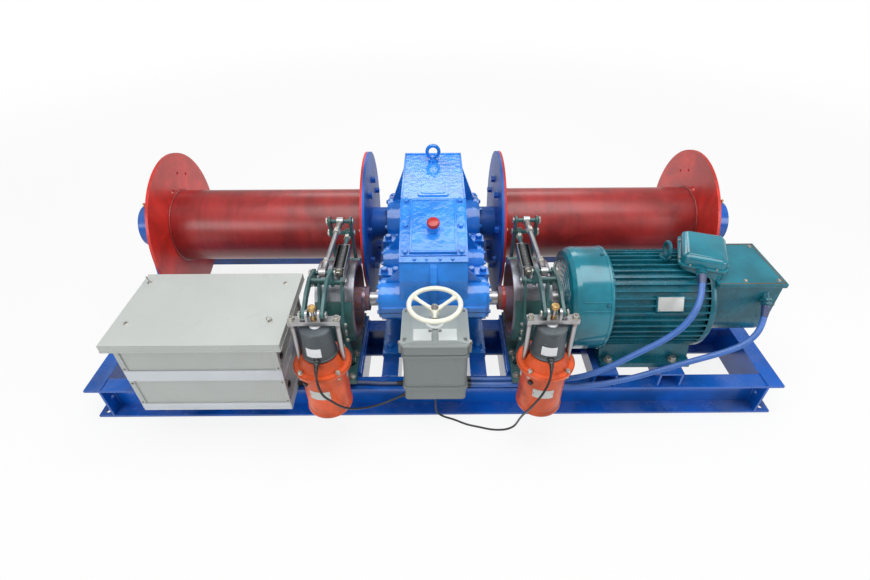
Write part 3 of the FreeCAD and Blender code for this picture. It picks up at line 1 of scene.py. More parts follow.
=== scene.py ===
"""Twin-drum electric winch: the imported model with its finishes, fasteners, welds, cords and fittings."""
import json
import math

import bmesh
import bpy
from mathutils import Euler, Matrix, Vector


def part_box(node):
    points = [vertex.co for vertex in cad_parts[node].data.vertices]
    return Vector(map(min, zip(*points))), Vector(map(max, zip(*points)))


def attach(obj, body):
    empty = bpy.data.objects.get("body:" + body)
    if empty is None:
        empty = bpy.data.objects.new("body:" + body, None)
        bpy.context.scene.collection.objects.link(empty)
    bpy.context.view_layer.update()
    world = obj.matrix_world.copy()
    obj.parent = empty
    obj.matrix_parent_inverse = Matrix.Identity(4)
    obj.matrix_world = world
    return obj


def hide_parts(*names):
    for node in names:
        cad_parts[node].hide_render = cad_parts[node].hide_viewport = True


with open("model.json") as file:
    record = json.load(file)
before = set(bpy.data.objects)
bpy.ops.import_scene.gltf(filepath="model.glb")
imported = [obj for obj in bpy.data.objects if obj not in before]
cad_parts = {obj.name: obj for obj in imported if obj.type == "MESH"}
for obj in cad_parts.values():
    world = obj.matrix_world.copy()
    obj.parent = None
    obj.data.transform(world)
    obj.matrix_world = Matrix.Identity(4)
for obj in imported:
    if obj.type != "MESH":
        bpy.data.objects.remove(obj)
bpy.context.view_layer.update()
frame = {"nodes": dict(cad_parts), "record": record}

bl_info = {
    "name": "Twin-drum winch",
    "version": (1, 0, 0),
    "blender": (4, 5, 0),
    "location": "View3D > Sidebar > Winch",
    "description": "Dresses the winch with its finishes, fasteners, welds and cords",
    "category": "Object",
}

X, Y, Z = Vector((1, 0, 0)), Vector((0, 1, 0)), Vector((0, 0, 1))


def colour_property(name, description, default):
    """Colour setting, in linear light."""
    return bpy.props.FloatVectorProperty(name=name, description=description, subtype="COLOR", default=default,
                                         min=0, max=1)


class WinchColours(bpy.types.PropertyGroup):
    """Main colours of the winch."""
    frame_blue: colour_property("Frame blue", "Gloss enamel on the frame and pedestals", (0.003, 0.098, 0.46))
    case_blue: colour_property("Reducer blue", "Thick enamel on the reducer", (0.012, 0.205, 0.70))
    drum_red: colour_property("Drum red", "Primer on the drum barrels", (0.27, 0.017, 0.016))
    flange_red: colour_property("Flange red", "Primer on the outer flanges", (0.56, 0.028, 0.020))
    motor_teal: colour_property("Motor teal", "Enamel on the motor", (0.004, 0.112, 0.158))
    thruster_orange: colour_property("Thruster orange", "Enamel on the thrusters", (0.58, 0.072, 0.009))
    brake_green: colour_property("Brake green", "Enamel on the brake arms", (0.03, 0.10, 0.10))
    box_grey: colour_property("Box grey", "Coating of the resistor box", (0.43, 0.455, 0.44))


class WinchSizes(bpy.types.PropertyGroup):
    """Sizes of the fasteners and trim."""
    bolt_flats: bpy.props.FloatProperty(
        name="Bolt size", description="Width across flats of the bolts that join the reducer's halves", default=0.026,
        unit="LENGTH", min=0.004)
    weld_width: bpy.props.FloatProperty(
        name="Weld width", description="Radius of a weld bead", default=0.005, unit="LENGTH", min=0.001)
    spring_turns: bpy.props.IntProperty(
        name="Spring turns", description="Turns of a brake spring that show", default=15, min=4)


class Wire:
    """Socket of a node tree that adds Math nodes when it is used in an expression."""

    def __init__(self, nodes, socket):
        self.nodes = nodes
        self.socket = socket

    def math(self, operation, *others):
        return self.nodes.node("ShaderNodeMath", {"operation": operation}, self, *others).out(0)

    def __add__(self, other):
        return self.math("ADD", other)

    def __radd__(self, other):
        return self.math("ADD", other)

    def __sub__(self, other):
        return self.math("SUBTRACT", other)

    def __rsub__(self, other):
        return self.nodes.node("ShaderNodeMath", {"operation": "SUBTRACT"}, other, self).out(0)

    def __mul__(self, other):
        return self.math("MULTIPLY", other)

    def __pow__(self, other):
        return self.math("POWER", other)

    def least(self, other):
        return self.math("MINIMUM", other)

    def most(self, other):
        return self.math("MAXIMUM", other)

    def step(self, low, high):
        """0 below low, 1 above high and smooth between; low may be above high."""
        settings = {"interpolation_type": "SMOOTHSTEP"}
        return self.nodes.node("ShaderNodeMapRange", settings, self, low, high, 0.0, 1.0).out(0)


class NodeMade:
    """A node that was added, and its outputs as wires."""

    def __init__(self, nodes, node):
        self.nodes = nodes
        self.node = node

    def out(self, name=0):
        return Wire(self.nodes, self.node.outputs[name])


class Nodes:
    """Adds the nodes of one tree."""

    def __init__(self, tree):
        self.tree = tree
        tree.nodes.clear()

    def node(self, kind, settings=None, *values, **named):
        """Add a node, set its settings first, then its sockets from values or wires."""
        made = self.tree.nodes.new(kind)
        for key, value in (settings or {}).items():
            setattr(made, key, value)
        for index, value in enumerate(values):
            self.feed(made.inputs[index], value)
        for key, value in named.items():
            self.feed(made.inputs[key], value)
        return NodeMade(self, made)

    def feed(self, socket, value):
        """Link a wire to a socket, or set the socket to a value."""
        if isinstance(value, Wire):
            self.tree.links.new(value.socket, socket)
        elif value is not None:
            if socket.type == "RGBA" and len(value) == 3:
                value = (*value, 1.0)
            socket.default_value = value


class Finish(Nodes):
    """Node tree of one material."""

    def __init__(self, name):
        self.material = bpy.data.materials.new(name)
        self.material.use_nodes = True
        super().__init__(self.material.node_tree)
        self.place = self.node("ShaderNodeTexCoord").out("Object")
        self.shader = self.node("ShaderNodeBsdfPrincipled").node
        self.output = self.node("ShaderNodeOutputMaterial", None, Wire(self, self.shader.outputs[0])).node

    def stretched(self, scale):
        return self.node("ShaderNodeMapping", {"vector_type": "POINT"}, self.place, Scale=scale).out(0)

    def noise(self, scale, detail=3.0, roughness=0.55, distortion=0.0, place=None):
        return self.node("ShaderNodeTexNoise", {"noise_dimensions": "3D"}, Vector=place or self.place,
                         Scale=scale, Detail=detail, Roughness=roughness, Distortion=distortion).out(0)

    def mix(self, low, high, factor):
        """Colour low where the factor is 0, high where it is 1."""
        made = self.node("ShaderNodeMix", {"data_type": "RGBA"})
        for index, value in ((0, factor), (6, low), (7, high)):
            self.feed(made.node.inputs[index], value)
        return made.out(2)

    def axis(self, name):
        return self.node("ShaderNodeSeparateXYZ", None, self.place).out(name)

    def facing_up(self):
        """1 on faces that look up, 0 on upright ones."""
        normal = self.node("ShaderNodeTexCoord").out("Normal")
        return self.node("ShaderNodeSeparateXYZ", None, normal).out("Z").step(0.15, 0.9)

    def done(self, colour, roughness, metallic=0.0, height=None, bump=0.3, soften=0.0, **constants):
        """Link what varies, and set what doesn't on the shader itself."""
        self.feed(self.shader.inputs["Base Color"], colour)
        self.feed(self.shader.inputs["Roughness"], roughness)
        self.feed(self.shader.inputs["Metallic"], metallic)
        normal = None
        if soften:
            normal = self.node("ShaderNodeBevel", {"samples": 4}, soften).out(0)
        if height is not None:
            normal = self.node("ShaderNodeBump", None, Strength=bump, Distance=0.004, Height=height,
                               Normal=normal).out(0)
        if normal is not None:
            self.tree.links.new(normal.socket, self.shader.inputs["Normal"])
        for key, value in constants.items():
            self.shader.inputs[key.replace("_", " ")].default_value = value
        return self.material


RUST = (0.11, 0.035, 0.012)
DUST = (0.42, 0.44, 0.46)
BARE = (0.42, 0.41, 0.40)


def shade(colour, factor):
    """The colour, darker or brighter."""
    return tuple(c * factor for c in colour)


def enamel(name, colour, wave, chips, dust, gloss):
    """Brushed or sprayed enamel: waves and runs in the film, dust where it faces up, small chips."""
    f = Finish(name)
    slow = f.noise(5.0, 3.0)
    tone = f.mix(shade(colour, 0.72), shade(colour, 1.22), slow.step(0.3, 0.7))
    film = f.noise(55.0, 2.0)
    runs = f.noise(9.0, 2.0, place=f.stretched((4.0, 4.0, 0.6)))
    speck = f.noise(160.0, 2.0, 0.6)
    grime = f.noise(3.0, 5.0, 0.65, 0.4).step(0.52, 0.78) * 0.55
    lying = f.facing_up() * f.noise(7.0, 4.0, 0.6).step(0.35, 0.8) * dust
    chip = f.noise(42.0, 4.0, 0.7).step(0.705, 0.73) * f.noise(6.0, 2.0).step(0.48, 0.6) * chips
    colour_wire = f.mix(tone, shade(colour, 0.35), grime)
    colour_wire = f.mix(colour_wire, DUST, lying * 0.6)
    rusted = f.mix(BARE, RUST, f.noise(70.0, 3.0).step(0.4, 0.6))
    colour_wire = f.mix(colour_wire, rusted, chip)
    rough = (lying * 0.45 + grime * 0.2 + chip * 0.5 + speck * 0.06 + gloss).least(0.9)
    height = film * (0.5 * wave) + runs * wave + speck * 0.03 - chip * 0.5
    return f.done(colour_wire, rough, 0.0, height, 0.16 * wave + 0.03, 0.0015, Coat_Weight=0.25,
                  Coat_Roughness=0.08)


def two_tone(name, inner, outer):
    """Drum flange: blue enamel on the reducer's side, red primer on the drum's side."""
    f = Finish(name)
    from_middle = f.axis("X").math("ABSOLUTE")
    ragged = f.noise(60.0, 3.0) * 0.0012
    side = (from_middle + ragged).step(0.2960, 0.2968)
    patches = f.noise(6.0, 4.0).step(0.3, 0.7)
    blue = f.mix(shade(inner, 0.75), shade(inner, 1.35), patches)
    red = f.mix(shade(outer, 0.6), shade(outer, 1.25), patches)
    out = f.mix(blue, red, side)
    chip = f.noise(48.0, 4.0, 0.7).step(0.69, 0.72) * 0.6
    out = f.mix(out, BARE, chip)
    return f.done(out, side * 0.05 + chip * 0.3 + 0.42, 0.0, f.noise(70.0, 3.0), 0.10, 0.0015,
                  Specular_IOR_Level=0.3)


def cast_enamel(name, colour, gloss, grain, dust, chips):
    """Enamel over a sand casting: the grain shows through the film."""
    f = Finish(name)
    tone = f.mix(shade(colour, 0.66), shade(colour, 1.3), f.noise(8.0, 4.0).step(0.3, 0.7))
    sand = f.noise(240.0, 3.0, 0.7)
    lumps = f.noise(45.0, 2.0)
    lying = f.facing_up() * f.noise(9.0, 4.0, 0.6).step(0.3, 0.75) * dust
    grime = f.noise(14.0, 5.0, 0.7).step(0.5, 0.75) * 0.6
    chip = f.noise(60.0, 4.0, 0.7).step(0.66, 0.70) * chips
    out = f.mix(tone, shade(colour, 0.3), grime)
    out = f.mix(out, DUST, lying * 0.55)
    out = f.mix(out, BARE, chip)
    rough = (lying * 0.35 + grime * 0.25 + chip * 0.3 + sand * 0.1 + gloss).least(0.95)
    return f.done(out, rough, 0.0, sand * 0.35 + lumps, 0.3 * grain, 0.0015)


def drum_primer(name, colour, more_dull=0.0):
    """Matt red primer on a rolled tube: scuffed rings round it, dull patches and rope dust."""
    f = Finish(name)
    rings = f.noise(1.0, 4.0, 0.6, place=f.stretched((38.0, 1.2, 1.2)))
    patches = f.noise(5.0, 5.0, 0.65, 0.6)
    fine = f.noise(120.0, 3.0, 0.6)
    tone = f.mix(shade(colour, 0.66), shade(colour, 1.3), (patches * 0.75 + rings * 0.25).step(0.35, 0.68))
    dull = f.noise(3.2, 5.0, 0.7, 0.8).step(0.5, 0.72) * (0.30 + more_dull)
    out = f.mix(tone, (0.30, 0.085, 0.075), dull)
    scuff = rings.step(0.62, 0.72) * f.noise(12.0, 4.0).step(0.45, 0.65) * 0.18
    out = f.mix(out, (0.12, 0.05, 0.045), scuff)
    rough = (fine * 0.12 + dull * 0.2 + 0.30).least(0.9)
    height = rings * 0.25 + fine * 0.25 + patches * 0.5
    return f.done(out, rough, 0.0, height, 0.14, 0.002, Coat_Weight=0.15, Coat_Roughness=0.2)


def turned_steel(name, tint=(0.46, 0.46, 0.47), rust=0.35):
    """Turned or drawn steel with tool marks and a thin bloom of rust."""
    f = Finish(name)
    marks = f.noise(3.0, 3.0, 0.6, place=f.stretched((220.0, 1.5, 1.5)))
    bloom = f.noise(22.0, 5.0, 0.65).step(0.5, 0.72) * rust
    tone = f.mix(shade(tint, 0.72), shade(tint, 1.2), marks)
    out = f.mix(tone, (0.16, 0.065, 0.03), bloom)
    return f.done(out, marks * 0.18 + bloom * 0.4 + 0.24, 1.0 - bloom * 0.9, marks, 0.08, 0.001)


def wheel_metal(name):
    """Brake wheel: worn bright tread with purple heat tints and rust on the web."""
    f = Finish(name)
    up, out = f.axis("Z") - AXIS_Z, f.axis("Y") - INPUT_Y
    radius = (up * up + out * out) ** 0.5
    tread = radius.step(0.142, 0.1475)
    marks = f.noise(2.0, 4.0, 0.6, place=f.stretched((260.0, 3.0, 3.0)))
    rust = f.noise(26.0, 5.0, 0.7).step(0.4, 0.65)
    steel = f.mix((0.16, 0.18, 0.21), (0.40, 0.42, 0.45), marks)
    tint = f.mix(steel, (0.17, 0.12, 0.15), f.noise(9.0, 3.0).step(0.45, 0.6) * 0.45)
    web = f.mix((0.14, 0.10, 0.15), (0.17, 0.06, 0.04), rust)
    out = f.mix(web, tint, tread)
    metal = tread * 0.9 + 0.05
    return f.done(out, 0.6 - tread * 0.28 + marks * 0.08, metal, marks * 0.4 + rust * 0.3, 0.15, 0.0015)


def sheet_coat(name, colour, orange_peel=0.25, dirt=0.4, gloss=0.34):
    """Coated sheet metal: fine peel, faint dents, hand marks and dark specks."""
    f = Finish(name)
    slow = f.noise(3.0, 4.0, 0.6, 0.3)
    peel = f.noise(320.0, 2.0)
    dents = f.noise(7.0, 1.0)
    smears = f.noise(12.0, 5.0, 0.7, 1.2).step(0.55, 0.8) * dirt
    spots = f.noise(70.0, 3.0, 0.8).step(0.69, 0.72) * dirt
    tone = f.mix(shade(colour, 0.88), shade(colour, 1.1), slow)
    out = f.mix(tone, shade(colour, 0.62), smears * 0.5)
    out = f.mix(out, (0.10, 0.09, 0.08), spots)
    rough = gloss + smears * 0.25 + slow * 0.08
    return f.done(out, rough, 0.0, peel * 0.12 + dents, orange_peel, 0.0012)


def moulded(name, colour, rough=0.3):
    """Moulded plastic with handling marks."""
    f = Finish(name)
    marks = f.noise(40.0, 5.0, 0.7).step(0.5, 0.72)
    out = f.mix(colour, shade(colour, 0.6), marks * 0.45)
    return f.done(out, marks * 0.2 + rough, 0.0, f.noise(200.0, 2.0), 0.05, 0.001)


def hose_cover(name, colour, dust=0.18):
    """Ribbed plastic hose with dust between its ribs."""
    f = Finish(name)
    along = f.noise(26.0, 3.0)
    out = f.mix(shade(colour, 0.7), shade(colour, 1.35), along)
    out = f.mix(out, DUST, f.facing_up() * dust)
    return f.done(out, along * 0.2 + 0.3, 0.0, f.noise(300.0, 2.0), 0.08)


def zinc(name, tint=(0.60, 0.58, 0.52), stain=0.5):
    """Zinc on fasteners, with yellow passivation and white bloom."""
    f = Finish(name)
    bloom = f.noise(90.0, 4.0, 0.6)
    out = f.mix(shade(tint, 0.55), tint, bloom.step(0.35, 0.65))
    out = f.mix(out, (0.14, 0.07, 0.03), f.noise(130.0, 3.0).step(0.62, 0.7) * stain)
    return f.done(out, bloom * 0.25 + 0.28, 0.85, f.noise(300.0, 2.0), 0.1)


def blank_plate(name, colour=(0.55, 0.56, 0.54)):
    """Bare metal label plate, with nothing on it but handling marks."""
    f = Finish(name)
    brushed = f.noise(4.0, 4.0, 0.6, place=f.stretched((6.0, 300.0, 300.0)))
    out = f.mix(shade(colour, 0.8), shade(colour, 1.15), brushed)
    out = f.mix(out, shade(colour, 0.45), f.noise(60.0, 4.0, 0.7).step(0.6, 0.75) * 0.5)
    return f.done(out, brushed * 0.2 + 0.35, 0.4, brushed, 0.04)


def dark_gap(name, colour=(0.012, 0.014, 0.018)):
    """Shadowed inside of vents and slots."""
    f = Finish(name)
    out = f.mix(colour, shade(colour, 2.5), f.noise(30.0, 3.0))
    return f.done(out, 0.7)


def make_materials(colours):
    """Every finish, by the record's slot or by a maker's word for it."""
    return {
        "frame_blue": enamel("frame_enamel", tuple(colours.frame_blue), 0.5, 0.55, 0.25, 0.20),
        "reducer_blue": enamel("reducer_enamel", tuple(colours.case_blue), 1.7, 0.2, 0.12, 0.09),
        "flange_blue": two_tone("flange_enamel", (0.006, 0.085, 0.36), tuple(colours.flange_red)),
        "drum_red": drum_primer("drum_primer", tuple(colours.drum_red)),
        "flange_red": drum_primer("flange_primer", tuple(colours.flange_red), -0.27),
        "bare_steel": turned_steel("turned_steel"),
        "wheel_steel": wheel_metal("wheel_metal"),
        "brake_green": cast_enamel("brake_enamel", tuple(colours.brake_green), 0.28, 0.4, 0.15, 0.3),
        "spring_black": enamel("spring_enamel", (0.02, 0.022, 0.026), 0.2, 0.3, 0.2, 0.3),
        "thruster_orange": cast_enamel("thruster_enamel", tuple(colours.thruster_orange), 0.3, 0.5, 0.08, 0.35),
        "thruster_grey": cast_enamel("thruster_grey_enamel", (0.055, 0.07, 0.08), 0.38, 0.3, 0.3, 0.3),
        "motor_teal": cast_enamel("motor_enamel", tuple(colours.motor_teal), 0.2, 0.5, 0.04, 0.1),
        "box_grey": sheet_coat("box_coating", tuple(colours.box_grey)),
        "controller_grey": sheet_coat("controller_coating", (0.19, 0.215, 0.215), 0.3, 0.5, 0.36),
        "handwheel_cream": moulded("handwheel_plastic", (0.74, 0.74, 0.63), 0.22),
        "hose_blue": hose_cover("hose_blue_cover", (0.028, 0.120, 0.42), 0.10),
        "hose_dark": hose_cover("hose_dark_cover", (0.012, 0.03, 0.12)),
        "lead_black": hose_cover("lead_sheath", (0.007, 0.007, 0.008), 0.03),
        "zinc": zinc("zinc"),
        "blued_bolt": enamel("painted_bolt", shade(tuple(colours.frame_blue), 0.9), 0.3, 0.9, 0.2, 0.3),
        "case_bolt": enamel("case_bolt", tuple(colours.case_blue), 0.4, 0.3, 0.1, 0.15),
        "brass": zinc("brass", (0.62, 0.40, 0.16), 0.3),
        "plate": blank_plate("blank_plate"),
        "paper": moulded("paper_label", (0.72, 0.74, 0.76), 0.5),
        "vent_red": moulded("vent_plastic", (0.42, 0.02, 0.018), 0.2),
        "black": moulded("black_plastic", (0.012, 0.012, 0.014), 0.35),
        "gap": dark_gap("shadow_gap"),
        "worn": turned_steel("worn_steel", (0.34, 0.33, 0.33), 0.6),
        "spring_coil": enamel("spring_wire", (0.010, 0.012, 0.014), 0.1, 0.1, 0.1, 0.25),
        # Lighter copy of the motor's teal for the cowl, terminal box and ring-box lid: painted light, standing for
        # the light falling on these smooth parts.
        "lit_teal": enamel("cowl_enamel", (0.008, 0.165, 0.225), 0.35, 0.15, 0.02, 0.12),
        # Dark brown line along the ring-box lid's edges, drawn with the shadowed-gap finish.
        "rim_brown": dark_gap("lid_sealant", (0.10, 0.045, 0.02)),
        "hub_red": enamel("hub_primer", (0.30, 0.018, 0.016), 0.3, 0.4, 0.1, 0.25),
        "hub_grey": turned_steel("hub_steel", (0.22, 0.17, 0.22), 0.5),
        # Lighter copy of the controller's grey for its lid: painted light, standing for the light falling on the
        # lid's top.
        "lid_lit_grey": sheet_coat("lid_coating", (0.33, 0.37, 0.365), 0.3, 0.5, 0.30),
        # Pale copy of the controller's grey for the lid's raised pads and dial boss: a painted highlight on their lit
        # flat tops.
        "lid_highlight": sheet_coat("lid_pad_coating", (0.60, 0.64, 0.63), 0.3, 0.5, 0.32),
        "band_silver": sheet_coat("band_metal", (0.56, 0.60, 0.64), 0.1, 0.2, 0.22),
    }


FINISHES = {}
# Pieces that take a lighter copy of their own paint, standing for the light on them (painted light).
LIT_COPY_FINISHES = {"controller_lid": "lid_lit_grey", "motor_cowl": "lit_teal", "terminal_box": "lit_teal",
                   "slip_ring_lid": "lit_teal"}


def finish_node_objects():
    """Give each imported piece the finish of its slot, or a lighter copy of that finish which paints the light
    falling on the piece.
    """
    slots = {part["node"]: part["material_slot"] for part in frame["record"]["subparts"]}
    for name, obj in frame["nodes"].items():
        obj.data.materials.clear()
        obj.data.materials.append(FINISHES[LIT_COPY_FINISHES.get(name, slots[name])])


def add_object(name, mesh, finish, body):
    """Put a finished mesh in the scene, riding on its body."""
    obj = bpy.data.objects.new(name, mesh)
    bpy.context.scene.collection.objects.link(obj)
    if not mesh.materials:
        mesh.materials.append(FINISHES[finish])
    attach(obj, body)
    return obj


def mesh_from(bm, name, smooth=True):
    """Mesh of what was built, sharp only where its faces turn by more than 35 degrees."""
    bmesh.ops.remove_doubles(bm, verts=bm.verts, dist=1e-6)
    bmesh.ops.recalc_face_normals(bm, faces=bm.faces)
    mesh = bpy.data.meshes.new(name)
    bm.to_mesh(mesh)
    bm.free()
    for polygon in mesh.polygons:
        polygon.use_smooth = smooth
    if smooth:
        mesh.set_sharp_from_angle(angle=math.radians(35))
    return mesh


def turn_to(direction, centre):
    """Matrix that takes local +Z to direction and the origin to centre."""
    direction = Vector(direction).normalized()
    return Matrix.Translation(centre) @ direction.to_track_quat("Z", "Y").to_matrix().to_4x4()


def circle(radius, count, height=0.0, start=0.0):
    """Points round the local Z axis."""
    angles = [start + 2 * math.pi * k / count for k in range(count)]
    return [Vector((radius * math.cos(a), radius * math.sin(a), height)) for a in angles]


def add_lathe(bm, profile, centre, direction, steps=32):
    """Turn a profile of (radius, height) about a line from centre along direction."""
    matrix = turn_to(direction, centre)
    rings = []
    for radius, height in profile:
        if radius < 1e-7:
            rings.append([bm.verts.new(matrix @ Vector((0, 0, height)))])
            continue
        rings.append([bm.verts.new(matrix @ place) for place in circle(radius, steps, height)])
    for low, high in zip(rings, rings[1:]):
        for k in range(steps):
            n = (k + 1) % steps
            if len(low) == 1 and len(high) > 1:
                bm.faces.new((low[0], high[n], high[k]))
            elif len(high) == 1 and len(low) > 1:
                bm.faces.new((low[k], low[n], high[0]))
            elif len(low) > 1:
                bm.faces.new((low[k], low[n], high[n], high[k]))


def add_block(bm, low, high, bevel=0.001, matrix=None, segments=2):
    """Block with bevelled edges between two corners, turned by a matrix if one is given."""
    low, high = Vector(low), Vector(high)
    verts = bmesh.ops.create_cube(bm, size=1.0)["verts"]
    for v in verts:
        v.co = v.co * (high - low) + (low + high) / 2
    edges = list({e for v in verts for e in v.link_edges})
    if bevel:
        result = bmesh.ops.bevel(bm, geom=edges, offset=bevel, segments=segments, profile=0.6, affect="EDGES")
        verts = list({v for face in result["faces"] for v in face.verts} | {v for v in verts if v.is_valid})
    if matrix:
        for v in verts:
            v.co = matrix @ v.co


def add_tube(bm, points, radius, steps):
    """Round bar along points, of one radius or of one for each point."""
    points = [Vector(p) for p in points]
    rings = []
    for index, point in enumerate(points):
        before = points[max(index - 1, 0)]
        after = points[min(index + 1, len(points) - 1)]
        matrix = turn_to(after - before, point)
        size = radius[index] if isinstance(radius, (list, tuple)) else radius
        rings.append([bm.verts.new(matrix @ place) for place in circle(size, steps)])
    for low, high in zip(rings, rings[1:]):
        offset = min(range(steps), key=lambda s: (low[0].co - high[s].co).length)
        for k in range(steps):
            n = (k + 1) % steps
            bm.faces.new((low[k], low[n], high[(n + offset) % steps], high[(k + offset) % steps]))
    bm.faces.new(rings[0][::-1])
    bm.faces.new(rings[-1])


def group_tree(name, inputs):
    """Geometry Nodes group with named inputs; gives its nodes and its input node."""
    tree = bpy.data.node_groups.new(name, "GeometryNodeTree")
    add_socket = tree.interface.new_socket
    add_socket("Geometry", in_out="INPUT", socket_type="NodeSocketGeometry")
    for label, kind in inputs.items():
        add_socket(label, in_out="INPUT", socket_type="NodeSocket" + kind)
    add_socket("Geometry", in_out="OUTPUT", socket_type="NodeSocketGeometry")
    nodes = Nodes(tree)
    return nodes, nodes.node("NodeGroupInput")


def end_tree(nodes, source, geometry):
    """Realize what was made, give it its finish and end the tree."""
    real = nodes.node("GeometryNodeRealizeInstances", None, geometry).out(0)
    coated = nodes.node("GeometryNodeSetMaterial", None, real, Material=source.out("Finish")).out(0)
    nodes.node("NodeGroupOutput", None, coated)
    return nodes.tree


SIXTH_TURN = 1.047


def bolt_tree():
    """Geometry Nodes: a hexagon head on a washer at every point, turned to the point's facing."""
    nodes, source = group_tree("bolt_field", {"Across flats": "Float", "Head height": "Float",
                                              "Washer size": "Float", "Seed": "Int", "Finish": "Material"})
    flats, head = source.out("Across flats"), source.out("Head height")

    def lifted(mesh, height):
        place = nodes.node("ShaderNodeCombineXYZ", None, Z=height).out(0)
        return nodes.node("GeometryNodeTransform", None, mesh, Translation=place).out(0)

    def attribute(name, kind):
        return nodes.node("GeometryNodeInputNamedAttribute", {"data_type": kind}, Name=name).out("Attribute")

    hexagon = nodes.node("GeometryNodeMeshCylinder", None, Vertices=6, Radius=flats * 0.577, Depth=head).out("Mesh")
    chamfer = nodes.node("GeometryNodeMeshCone", None, Vertices=12, Depth=flats * 0.07,
                         **{"Radius Bottom": flats * 0.50, "Radius Top": flats * 0.42}).out("Mesh")
    washer = nodes.node("GeometryNodeMeshCylinder", None, Vertices=20, Radius=source.out("Washer size"),
                        Depth=flats * 0.12).out("Mesh")
    bolt = nodes.node("GeometryNodeJoinGeometry")
    for mesh in (lifted(hexagon, head * 0.5), lifted(chamfer, head), washer):
        nodes.feed(bolt.node.inputs[0], mesh)
    aligned = nodes.node("FunctionNodeAlignRotationToVector", {"axis": "Z"},
                         Vector=attribute("facing", "FLOAT_VECTOR")).out(0)
    chance = nodes.node("FunctionNodeRandomValue", {"data_type": "FLOAT"}, None, None, 0.0, SIXTH_TURN,
                        Seed=source.out("Seed")).out(1)
    spin = nodes.node("FunctionNodeAxisAngleToRotation", None, Angle=chance).out(0)
    turned = nodes.node("FunctionNodeRotateRotation", {"rotation_space": "LOCAL"}, aligned, spin).out(0)
    placed = nodes.node("GeometryNodeInstanceOnPoints", None, Points=source.out("Geometry"), Instance=bolt.out(0),
                        Rotation=turned, Scale=attribute("size", "FLOAT")).out(0)
    return end_tree(nodes, source, placed)


def weld_tree():
    """Geometry Nodes: a rippled bead along every edge of a mesh of lines."""
    nodes, source = group_tree("weld_bead", {"Bead radius": "Float", "Ripple": "Float", "Seed": "Float",
                                             "Finish": "Material"})
    curve = nodes.node("GeometryNodeMeshToCurve", None, source.out("Geometry")).out(0)
    line = nodes.node("GeometryNodeResampleCurve", {"mode": "LENGTH"}, Curve=curve, Length=0.006).out(0)
    noise = nodes.node("ShaderNodeTexNoise", {"noise_dimensions": "4D"}, W=source.out("Seed"), Scale=95.0,
                       Detail=1.0).out("Color")
    centred = nodes.node("ShaderNodeVectorMath", {"operation": "SUBTRACT"}, noise, (0.5, 0.5, 0.5)).out(0)
    shift = nodes.node("ShaderNodeVectorMath", {"operation": "SCALE"}, centred, Scale=source.out("Ripple")).out(0)
    uneven = nodes.node("GeometryNodeSetPosition", None, line, Offset=shift).out(0)
    profile = nodes.node("GeometryNodeCurvePrimitiveCircle", None, Resolution=7,
                         Radius=source.out("Bead radius")).out("Curve")
    bead = nodes.node("GeometryNodeCurveToMesh", None, Curve=uneven,
                      **{"Profile Curve": profile, "Fill Caps": True}).out(0)
    return end_tree(nodes, source, bead)


def run_tree(tree, name, mesh, inputs, body, smooth=False):
    """Evaluate a tree on a mesh and keep its result as a plain mesh on a body."""
    carrier = bpy.data.objects.new(name + "_points", mesh)
    bpy.context.scene.collection.objects.link(carrier)
    modifier = carrier.modifiers.new("tree", "NODES")
    modifier.node_group = tree
    sockets = {item.name: item.identifier for item in tree.interface.items_tree if item.in_out == "INPUT"}
    for key, value in inputs.items():
        modifier[sockets[key]] = value
    bpy.context.view_layer.update()
    evaluated = carrier.evaluated_get(bpy.context.evaluated_depsgraph_get())
    made = bpy.data.meshes.new_from_object(evaluated)
    made.name = name
    carrier.modifiers.remove(modifier)
    bpy.data.objects.remove(carrier)
    for polygon in made.polygons:
        polygon.use_smooth = smooth
    obj = bpy.data.objects.new(name, made)
    bpy.context.scene.collection.objects.link(obj)
    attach(obj, body)
    return obj


def add_bolts(name, rows, finish, body, flats, head=None, washer=None, seed=3):
    """Bolts at rows of (place, facing) or (place, facing, size)."""
    mesh = bpy.data.meshes.new(name + "_points")
    mesh.from_pydata([Vector(row[0]) for row in rows], [], [])
    mesh.attributes.new("facing", "FLOAT_VECTOR", "POINT")
    mesh.attributes.new("size", "FLOAT", "POINT")
    facing, size = mesh.attributes["facing"], mesh.attributes["size"]
    for index, row in enumerate(rows):
        facing.data[index].vector = Vector(row[1]).normalized()
        size.data[index].value = row[2] if len(row) > 2 else 1.0
    inputs = {"Across flats": flats, "Head height": head or flats * 0.62,
              "Washer size": washer or flats * 0.86, "Seed": seed, "Finish": FINISHES[finish]}
    return run_tree(TREES["bolts"], name, mesh, inputs, body)


def add_welds(name, lines, finish, body, radius=0.005, ripple=0.004, seed=1.0):
    """Weld beads along lines, each a list of points."""
    verts, edges = [], []
    for line in lines:
        start = len(verts)
        verts += [Vector(p) for p in line]
        edges += [(start + k, start + k + 1) for k in range(len(line) - 1)]
    mesh = bpy.data.meshes.new(name + "_lines")
    mesh.from_pydata(verts, edges, [])
    inputs = {"Bead radius": radius, "Ripple": ripple, "Seed": seed, "Finish": FINISHES[finish]}
    return run_tree(TREES["welds"], name, mesh, inputs, body, True)


TREES = {}


def circle_points(centre, axis, radius, count, start=0.0):
    """Points round a line through centre."""
    matrix = turn_to(axis, centre)
    return [matrix @ place for place in circle(radius, count, 0.0, start)]


